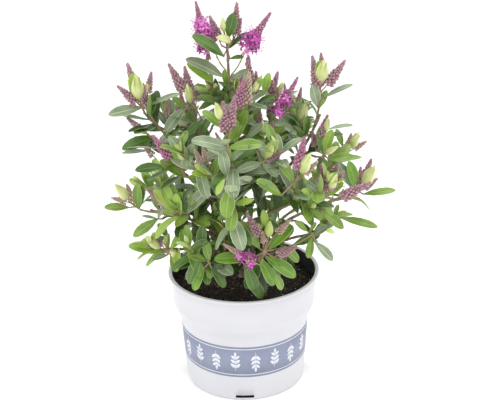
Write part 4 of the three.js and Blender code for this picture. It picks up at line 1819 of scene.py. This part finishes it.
class Crown:
    """Everything that grows on the limbs, one spray for each kind of part."""

    leaf_lengths = (22 * MM, 29 * MM, 35 * MM, 37 * MM)  # from the tip down
    leaf_angles = (0.22, 0.58, 0.9, 1.1, 1.25)  # from the stem, radians
    gaps = (6 * MM, 9 * MM, 11 * MM, 12 * MM)  # between leaf pairs, from the tip down
    leafy_clearance = 11 * MM  # how far a leafy shoot's last joint stays inside its mass
    flower_clearance = 34 * MM  # the same for a shoot with spikes
    pot_clearance = 3 * MM
    soil_clearance = 12 * MM  # for older leaves
    core_radius = 60 * MM  # round the trunk, where the crown is full of older leaves
    core_top_radius = 15 * MM  # the same at the leader's foot
    core_height = 255 * MM  # where it starts to narrow
    outline_slack = 6 * MM  # how far older leaves may reach past the masses
    bare_share = 0.22  # of a limb, from its root, without leaves
    inner_gap = 11 * MM  # between the older leaf pairs on a limb
    twig_gap = 22 * MM  # least distance between the leafy twigs on a limb
    low_rise = 60 * MM  # above the rim, up to where inner leaves are brighter

    def __init__(self, kit: Kit, limbs: Limbs, pot: Pot) -> None:
        """Opens the sprays.

        Args:
            kit: the small shapes.
            limbs: what the shoots grow on.
            pot: what the leaves keep clear of.
        """
        self.kit, self.limbs, self.pot = kit, limbs, pot
        self.soil_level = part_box("soil")[1].z
        self.trees = {mass: self.mass_tree(mass) for mass in HABITS}
        slots = {s["node"]: s["material_slot"] for s in frame["record"]["subparts"]}
        of = {slot: [n for n in slots if slots[n] == slot] for slot in set(slots.values())}
        leaves = leaf_finishes()
        self.old = Spray("mature_leaves", "mature_leaf", leaves, of["mature_leaf"])
        self.new = Spray("young_leaves", "young_leaf", leaves, of["young_leaf"])
        self.pods = Spray("shoot_tips", "shoot_tip", POD_FINISHES, of["shoot_tip"])
        self.buds = Spray("flower_buds", "flower_bud", BUD_FINISHES)
        self.florets = Spray("open_florets", "blossom", FLORET_FINISHES, of["blossom"])
        self.twigs = Spray("twigs", "green_stem", [GREEN_STEM, YOUNG_BARK])

    @staticmethod
    def mass_tree(mass: str) -> BVHTree:
        """The surface of one mass of the frame, for measuring."""
        mesh = frame["nodes"][f"foliage_{mass}"].data
        return BVHTree.FromPolygons([v.co for v in mesh.vertices], [p.vertices for p in mesh.polygons])

    def belongs(self, point: Point) -> bool:
        """Whether the crown has foliage at a point: round the trunk, or in or near a mass.

        Args:
            point: the point.

        Returns:
            True where leaves may reach.
        """
        out = math.hypot(point[0], point[1])
        if out < self.pot.band_top_radius and point[2] < self.soil_level + self.soil_clearance:
            return False
        rise = (point[2] - self.core_height) / (self.limbs.leader_foot - self.core_height)
        if rise < 1 and out < blend(self.core_radius, self.core_top_radius, max(rise, 0)):
            return True
        for tree in self.trees.values():
            near, normal, _, gap = tree.find_nearest(Vector(point))
            if gap < self.outline_slack or (Vector(point) - near).dot(normal) < 0:
                return True
        return False

    # ---- parts

    def leaf(
        self,
        at: Point,
        along: Point,
        facing: Point,
        length: float,
        tone: Tone,
        shapes: Sequence[Shape],
        rng: Rng,
    ) -> None:
        """Adds one leaf, lifted clear of the pot.

        Args:
            at: where its stalk joins.
            along: where it points.
            facing: where its upper side looks.
            length: its length.
            tone: its colour.
            shapes: the blades it is chosen from.
            rng: what chooses.
        """
        along = self.clear_of_pot(at, unit(along), length)
        spray = self.new if tone >= FRESH else self.old
        shape = shapes[rng.integers(len(shapes))]
        spray.add(shape, placed(at, along, facing, length), LEAF_FACES * int(tone))

    def clear_of_pot(self, at: Point, along: Point, length: float) -> Point:
        """Lifts a direction until what points that way misses the pot and the soil.

        Args:
            at: where the part starts.
            along: where it points.
            length: its length.

        Returns:
            The lifted direction.
        """
        for _ in range(12):
            clear = True
            for share in (0.5, 0.8, 1.0):
                tip = at + along * length * share
                radius = math.hypot(tip[0], tip[1])
                if radius < self.pot.lip_radius + 4 * MM:
                    inside = radius < self.pot.band_top_radius - 6 * MM
                    level = self.soil_level if inside else self.pot.height
                    clear = clear and tip[2] > level + self.pot_clearance
            if clear:
                return along
            along = unit(along + 0.14 * UP)
        return along

    def spike(
        self,
        at: Point,
        along: Point,
        parts: SpikeParts,
        bud: Bud,
        size: float,
        rng: Rng,
        bends_to: Point = UP,
    ) -> None:
        """Adds one flower spike.

        Args:
            at: where its stalk joins.
            along: where it points.
            parts: its shapes.
            bud: the colour of its buds.
            size: its scale.
            rng: how it is turned.
            bends_to: where its end bends to, more or less.
        """
        girth = math.sqrt(size)
        place = placed(at, along, bends_to + 0.3 * rng.normal(size=3), (girth, size, girth))
        self.buds.add(parts.buds, place, 2 * int(bud))
        self.twigs.add(parts.stalk, place, 0 if bud == PALE else 1)
        if parts.florets:
            self.florets.add(parts.florets, place)

    def tip(
        self, at: Point, axis: Point, side: Point, tone: Tone, size: float, rng: Rng
    ) -> None:
        """Adds the closed tip of a shoot and the half-open pair that holds it.

        Args:
            at: the last joint.
            axis: the shoot's heading.
            side: where the outer pair stands.
            tone: colour of the outer pair.
            size: length of the pod.
            rng: what chooses.
        """
        pod = self.kit.pods[rng.integers(len(self.kit.pods))]
        lean = unit(axis + 0.12 * rng.normal(size=3))
        self.pods.add(pod, placed(at, lean, side, size))
        beside = cross(axis, side)
        for hand in (-1, 1):
            if rng.random() < 0.6:
                along = unit(axis + hand * beside * rng.uniform(0.3, 0.5))
                shape = self.kit.cradle[rng.integers(2)]
                place = placed(at, along, -hand * beside, size * rng.uniform(0.95, 1.2))
                self.new.add(shape, place, LEAF_FACES * int(tone))

    # ---- shoots

    def path(self, start: Point, way: Point, tip: Point, tip_way: Point) -> np.ndarray:
        """A smooth line from a limb to a shoot's tip.

        Args:
            start: where it leaves the limb.
            way: where it sets out to.
            tip: its end.
            tip_way: its heading there.

        Returns:
            Points along it.
        """
        pull = 0.38 * float(np.linalg.norm(tip - start))
        a, b, c, d = start, start + way * pull, tip - tip_way * pull, tip
        t = np.linspace(0, 1, 40)[:, None]
        return a * (1 - t) ** 3 + 3 * b * t * (1 - t) ** 2 + 3 * c * t**2 * (1 - t) + d * t**3

    def joints(self, line: np.ndarray, rng: Rng) -> list[tuple[Point, Point]]:
        """The joints of a shoot, tip first.

        Args:
            line: the shoot's centre line, tip last.
            rng: how uneven they are.

        Returns:
            Place and heading of each joint.
        """
        back = line[::-1]
        run = np.concatenate(([0], np.cumsum(np.linalg.norm(np.diff(back, axis=0), axis=1))))
        found, at, number = [], 0.0, 0
        while at < run[-1]:
            point = np.array([np.interp(at, run, back[:, k]) for k in range(3)])
            before = np.array([np.interp(max(at - 1.5 * MM, 0), run, back[:, k]) for k in range(3)])
            behind = np.array([np.interp(at + 1.5 * MM, run, back[:, k]) for k in range(3)])
            found.append((point, unit(before - behind)))
            at += self.gaps[min(number, len(self.gaps) - 1)] * rng.uniform(0.85, 1.15)
            number += 1
        return found

    def twig(self, points: Sequence[Point], thick: float, side: Point) -> None:
        """Draws the stem of a shoot, woody in its lower half.

        Args:
            points: its joints, foot first.
            thick: its radius at the foot.
            side: how its rings are turned.
        """
        for number, (a, b) in enumerate(zip(points, points[1:])):
            length = float(np.linalg.norm(b - a))
            if length > 0.2 * MM:
                radius = blend(thick, 0.9 * MM, number / max(len(points) - 2, 1))
                woody = 1 if number < (len(points) - 1) * 0.55 else 0
                self.twigs.add(self.kit.stem, placed(a, b - a, side, (radius, length * 1.04, radius)), woody)

    def shoot(
        self,
        line: np.ndarray,
        habit: Habit,
        tip: Tip | None,
        thick: float,
        rng: Rng,
        vigour: float = 1.0,
        most: int = 99,
    ) -> None:
        """Grows one leafy shoot along a line.

        Args:
            line: its centre line, tip last.
            habit: how its mass grows.
            tip: what it bears at its end, or None where its end is listed.
            thick: its radius at the foot.
            rng: what makes it uneven.
            vigour: scale of its leaves.
            most: how many leaf pairs it has at most.
        """
        joints = self.joints(line, rng)
        shift = int(rng.choice((-1, 0, 0, 0, 1)))
        old = Tone(min(max(int(habit.old) + shift, 0), int(FRESH)))
        habit = replace(habit, old=old)
        side = across(joints[0][1], rng.normal(size=3))
        spikes = tip.spikes if tip else 0
        for number, (at, axis) in enumerate(joints):
            side = across(axis, side)
            if number == 0 and tip:
                tone = habit.new if rng.random() < 0.6 else LIME
                self.tip(at, axis, side, tone, tip.pod * MM * rng.uniform(0.85, 1.1), rng)
            elif (number > 1 or number and tip) and number < most + 2:
                for hand in (-1, 1):
                    self.side_leaf(at, axis, hand * side, number, habit, vigour, rng)
                    if number in (1, 2) and spikes > 0:
                        spikes -= 1
                        self.side_spike(at, axis, hand * side, number, tip.bud, rng)
            side = cross(axis, side)
        self.twig([line[0], *[at for at, _ in joints[::-1]]], thick, side)

    def side_leaf(
        self,
        at: Point,
        axis: Point,
        out: Point,
        number: int,
        habit: Habit,
        vigour: float,
        rng: Rng,
    ) -> None:
        """Adds the leaf on one side of a joint.

        Args:
            at: the joint.
            axis: the stem's heading.
            out: the side the leaf stands on.
            number: which joint it is, from the tip.
            habit: how its mass grows.
            vigour: scale of its leaves.
            rng: what makes it uneven.
        """
        angle = self.leaf_angles[min(number, len(self.leaf_angles) - 1)] * rng.uniform(0.85, 1.15)
        length = self.leaf_lengths[min(number, len(self.leaf_lengths) - 1)] * vigour * rng.uniform(0.85, 1.12)
        sag = habit.droop * (number - 1) if number > 1 else 0.0
        sway = 0.1 * rng.normal(size=3)
        for fold in (1.0, 0.65, 0.4):
            along = axis * math.cos(angle * fold) + out * math.sin(angle * fold)
            along = unit(along - UP * sag + sway)
            if number < 2 or self.belongs(at + along * length):
                break
        else:
            if rng.random() < 0.8:
                return
        lift = 0.6 if number > 1 else 0.3
        facing = across(along, axis) * (1 - lift) + UP * lift + 0.15 * rng.normal(size=3)
        young = number <= 1
        tone = habit.new if young else habit.old
        # a lower, older leaf is sometimes a tone darker: painted shade deeper in the crown
        if number >= 4 and rng.random() < 0.4:
            tone = Tone(max(int(habit.old) - 1, 0))
        self.leaf(at, along, facing, length, tone, self.kit.young if young else self.kit.mature, rng)

    def side_spike(
        self, at: Point, axis: Point, out: Point, number: int, bud: Bud, rng: Rng
    ) -> None:
        """Adds the flower spike in the angle between a leaf and the stem.

        Args:
            at: the joint.
            axis: the stem's heading.
            out: the side it stands on.
            number: which joint it is, from the tip.
            bud: the colour of its buds.
            rng: what makes it uneven.
        """
        angle = rng.uniform(0.3, 0.5) if number == 1 else rng.uniform(0.45, 0.75)
        along = unit(axis * math.cos(angle) + out * math.sin(angle) + 0.15 * UP)
        parts = self.kit.spikes[rng.integers(len(self.kit.spikes))]
        size = rng.uniform(0.8, 1.0)
        along = self.clear_of_pot(at, along, 45 * MM * size)
        self.spike(at + axis * 0.5 * MM, along, parts, bud, size, rng)

    # ---- masses

    def fill(self, mass: str, number: int) -> None:
        """Fills one mass of the frame with shoots that grow on from its limb.

        Args:
            mass: its name without the prefix.
            number: its place in the list, which seeds it.
        """
        rng = np.random.default_rng((SEED, number))
        habit = HABITS[mass]
        low, high = (np.array(c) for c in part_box(f"foliage_{mass}"))
        centre = (low + high) / 2
        limb = self.limbs.carrier(mass, centre)
        share = limb.nearest(centre)
        side = across(UP, rng.normal(size=3))
        for k in range(habit.more):
            spikes = int(rng.integers(1, habit.spikes + 1)) if habit.spikes else 0
            tip = Tip(spikes, rng.uniform(17, 22) if spikes else rng.uniform(12, 17))
            around = turned(side, UP, math.tau * k / habit.more + rng.uniform(-0.5, 0.5))
            tilt = rng.uniform(0.2, 1.5)
            aim = unit(UP * math.cos(tilt) + around * math.sin(tilt) + 0.3 * across(UP, centre))
            hit = self.trees[mass].ray_cast(Vector(centre), Vector(aim))[3] or 25 * MM
            clearance = self.flower_clearance if spikes else self.leafy_clearance
            end = centre + aim * max(hit - clearance, 5 * MM)
            start, start_way, radius = limb.at(max(share - rng.uniform(0.0, 0.25), 0.1))
            way = unit(start_way * 0.6 + unit(end - start) * 0.8)
            line = self.path(start, way, end, unit(0.6 * aim + 0.45 * UP))
            self.shoot(line, habit, tip, min(radius, 1.5 * MM), rng, rng.uniform(0.85, 1.05))

    def set_by_hand(self, sprigs: Sequence[Sprig], end: Point, rng: Rng) -> None:
        """Sets what one shoot bears, with a short stem to each part that stands off its end.

        Args:
            sprigs: what it bears.
            end: where the shoot ends.
            rng: what chooses the shapes.
        """
        for sprig in sprigs:
            right, above, before = (*sprig.foot, 0)[:3]
            foot = end + np.array((right, -before, above)) * MM
            along, length = sprig.way, sprig.length * MM
            facing = UP - along * float(along @ UP) + sprig.show * np.array((0.0, -1.0, 0.3))
            if sprig.part in (LEAF, NARROW_LEAF, BROAD_LEAF):
                shapes = self.kit.blades(sprig.part)
                spray = self.new if sprig.tone >= FRESH else self.old
                shape = shapes[rng.integers(len(shapes))]
                spray.add(shape, placed(foot, along, facing, length), LEAF_FACES * int(sprig.tone))
            elif sprig.part in (POD, BARE_POD):
                self.pods.add(self.kit.pods[rng.choice((0, 1, 0, 1, 3))], placed(foot, along, facing, length))
                for hand in (-1, 1) if sprig.part is POD else ():
                    side = hand * cross(along, unit(facing))
                    held = unit(along + rng.uniform(0.1, 0.24) * side)
                    tone = LEAF_FACES * int(rng.choice((FRESH, LIME)))
                    inward = unit(facing) - 0.8 * side
                    self.new.add(self.kit.cradle[0], placed(foot, held, inward, 0.9 * length), tone)
            else:
                parts, full = self.kit.spike_of(sprig.part)
                self.spike(foot, along, parts, sprig.bud, length / full, rng, np.array((0.0, 1.0, 0.0)))
            if sprig.part not in (BLOOM, ROUND_BLOOM) and 2 * MM < np.linalg.norm(foot - end) < 24 * MM:
                self.twig([end, foot], 0.9 * MM, facing)

    def cluster(self, cluster: Cluster, number: int) -> None:
        """Grows one listed shoot, with older leaves down its stem.

        Args:
            cluster: the shoot.
            number: its seed.
        """
        rng = np.random.default_rng((SEED, 100 + number))
        end = np.array(cluster.end) * MM
        limb = self.limbs.carrier(cluster.mass, end)
        start, way, radius = limb.at(max(limb.nearest(end) - 0.12, 0.1))
        lean = math.radians(cluster.lean)
        heading = unit(np.array((math.sin(lean), 0.0, math.cos(lean))) + 0.4 * unit(end - start))
        line = self.path(start, unit(way + unit(end - start)), end, heading)
        self.shoot(line, HABITS[cluster.mass], None, min(radius, 1.5 * MM), rng, most=cluster.pairs)
        self.set_by_hand(cluster.sprigs, end, rng)

    def inner_growth(self) -> None:
        """Adds the older leaves and the leafy twigs that the limbs carry inside the crown."""
        for number, (name, limb) in enumerate([*self.limbs.boughs.items(), ("trunk", self.limbs.trunk)]):
            if name in self.limbs.crest_stalks:
                continue
            rng = np.random.default_rng((SEED, 200 + number))
            last = (self.limbs.leader_foot - limb.line[0][2]) / (limb.line[-1][2] - limb.line[0][2])
            last = last if name == "trunk" else 1.0
            run, since = self.bare_share * limb.length, 0.0
            side = across(limb.at(0.2)[1], rng.normal(size=3))
            while run < last * limb.length:
                at, axis, radius = limb.at(run / limb.length)
                side = cross(axis, across(axis, side))
                low = at[2] < self.pot.height + self.low_rise
                for hand in (-1, 1):
                    if rng.random() < 0.75:
                        self.inner_leaf(at, axis, hand * side, radius, low, rng)
                step = self.inner_gap * rng.uniform(0.85, 1.2)
                run, since = run + step, since + step
                if since > self.twig_gap and rng.random() < 0.6:
                    since = 0.0
                    self.inner_twig(at, axis, turned(side, axis, rng.uniform(0, math.tau)), low, rng)

    def inner_leaf(
        self, at: Point, axis: Point, out: Point, radius: float, low: bool, rng: Rng
    ) -> None:
        """Adds one older leaf on a limb, where the crown has foliage. Its dark greens are painted shade for
        the inside of the crown.

        Args:
            at: the limb's centre.
            axis: its heading.
            out: the side the leaf stands on.
            radius: the limb's radius.
            low: whether it sits near the pot, where leaves are brighter.
            rng: what makes it uneven.
        """
        along = unit(out + 0.5 * axis + 0.1 * UP + 0.15 * rng.normal(size=3))
        length = 34 * MM * rng.uniform(0.8, 1.1)
        if self.belongs(at + along * length):
            # SHADE and DEEP here are painted shade inside the crown; near the pot a brighter green may come
            # instead
            tone = Tone(int(rng.choice((SHADE, DEEP, GREEN if low else DEEP))))
            self.leaf(at + out * radius * 0.7, along, UP + 0.3 * axis, length, tone, self.kit.mature, rng)

    def inner_twig(self, at: Point, axis: Point, out: Point, low: bool, rng: Rng) -> None:
        """Adds one short leafy twig on a limb, where the crown has foliage.

        Args:
            at: where it leaves the limb.
            axis: the limb's heading.
            out: the side it stands on.
            low: whether it sits near the pot.
            rng: what makes it uneven.
        """
        way = unit(out + 0.6 * axis + 0.35 * UP)
        length = rng.uniform(24, 42) * MM
        end = at + way * length + UP * 6 * MM
        if self.belongs(end) and self.belongs(at + way * length * 1.4):
            # darker greens away from the pot: painted shade inside the crown
            habit = Habit(GREEN if low else DEEP, FRESH if low else GREEN)
            line = self.path(at, way, end, unit(way + 0.6 * UP))
            tip = Tip(pod=rng.uniform(10, 15))
            self.shoot(line, habit, tip, 1.1 * MM, rng, rng.uniform(0.8, 1.0))

    def build(self) -> None:
        """Grows the whole crown and makes its pieces."""
        for number, mass in enumerate(HABITS):
            self.fill(mass, number)
        crest = self.limbs.trunk.at(1)[0]
        crest[2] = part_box("trunk")[1].z
        self.set_by_hand(CREST, crest, np.random.default_rng((SEED, 90)))
        for number, cluster in enumerate(CLUSTERS):
            self.cluster(cluster, number)
        self.inner_growth()
        leaves = sum(len(places) for spray in (self.old, self.new) for _, places in spray.copies.values())
        log.info("%d leaves, %d spikes", leaves, sum(len(p) for _, p in self.buds.copies.values()))
        for spray in (self.old, self.new, self.pods, self.buds, self.florets, self.twigs):
            spray.build()


# ---- studio


@dataclass
class Studio:
    """A white sweep with soft light from all round, and the camera."""

    floor_size: float = 30.0
    sensor: float = 36.0
    lens: float = 75.6
    eye: tuple[float, float, float] = (0.0, -1.06472, 0.65229)
    pitch: float = 0.391067
    yaw: float = 0.0080806
    roll: float = -0.0181656
    daylight: float = 1.1

    def build(self) -> None:
        """Makes the floor, the lights and the camera."""
        self.lay_floor()
        self.light()
        self.set_camera()

    def lay_floor(self) -> None:
        """Lays the white floor the pot stands on."""
        bm = bmesh.new()
        bmesh.ops.create_grid(bm, x_segments=8, y_segments=8, size=self.floor_size / 2)
        finish = Finish("white_floor", (255, 255, 255), (252, 252, 252), 0.9, 2, 0.02, 60, 0.1 * MM, 0.1)
        mesh = bm_mesh("floor", bm)
        mesh.materials.append(finish.material())
        floor = bpy.data.objects.new("floor", mesh)
        bpy.context.scene.collection.objects.link(floor)

    def light(self) -> None:
        """Lights the scene from a white surround and three large soft lamps."""
        world = bpy.data.worlds.new("studio")
        bpy.context.scene.world = world
        world.use_nodes = True
        ground = world.node_tree.nodes["Background"]
        ground.inputs["Color"].default_value = (1, 1, 1, 1)
        ground.inputs["Strength"].default_value = self.daylight
        lamps = {
            "left_softbox": ((-1.5, -0.9, 1.3), 1.3, 8.0),
            "right_softbox": ((1.5, -0.7, 1.2), 1.3, 7.0),
            "top_softbox": ((0.1, 0.4, 2.0), 1.4, 9.0),
        }
        for name, (at, size, power) in lamps.items():
            lamp = bpy.data.lights.new(name, "AREA")
            lamp.shape, lamp.size, lamp.energy = "SQUARE", size, power
            holder = bpy.data.objects.new(name, lamp)
            holder.location = at
            holder.rotation_euler = (Vector((0, 0, 0.22)) - Vector(at)).to_track_quat("-Z", "Y").to_euler()
            bpy.context.scene.collection.objects.link(holder)

    def set_camera(self) -> None:
        """Sets the camera in front of the plant, looking a little down on it."""
        camera = bpy.data.cameras.new("camera")
        camera.lens, camera.sensor_width, camera.sensor_fit = self.lens, self.sensor, "HORIZONTAL"
        camera.clip_start, camera.clip_end = 0.05, 100
        ahead = Vector(
            (
                math.sin(self.yaw) * math.cos(self.pitch),
                math.cos(self.yaw) * math.cos(self.pitch),
                -math.sin(self.pitch),
            )
        )
        level = Vector((math.cos(self.yaw), -math.sin(self.yaw), 0))
        above = level.cross(ahead)
        right = level * math.cos(self.roll) + above * math.sin(self.roll)
        upward = above * math.cos(self.roll) - level * math.sin(self.roll)
        turn = Matrix((right, upward, -ahead)).transposed().to_4x4()
        holder = bpy.data.objects.new("camera", camera)
        holder.matrix_world = Matrix.Translation(self.eye) @ turn
        bpy.context.scene.collection.objects.link(holder)
        bpy.context.scene.camera = holder
        bpy.context.scene.view_settings.view_transform = "Standard"


def main() -> None:
    """Builds the pot, the soil, the limbs and the crown, and sets the studio round them."""
    logging.basicConfig(level=logging.INFO, format="%(message)s")
    pot = Pot()
    pot.build()
    PrintedBand(pot).build()
    Soil(pot).build()
    limbs = Limbs()
    limbs.build()
    Crown(Kit(np.random.default_rng(SEED)), limbs, pot).build()
    Studio().build()


if __name__ == "__main__":
    main()
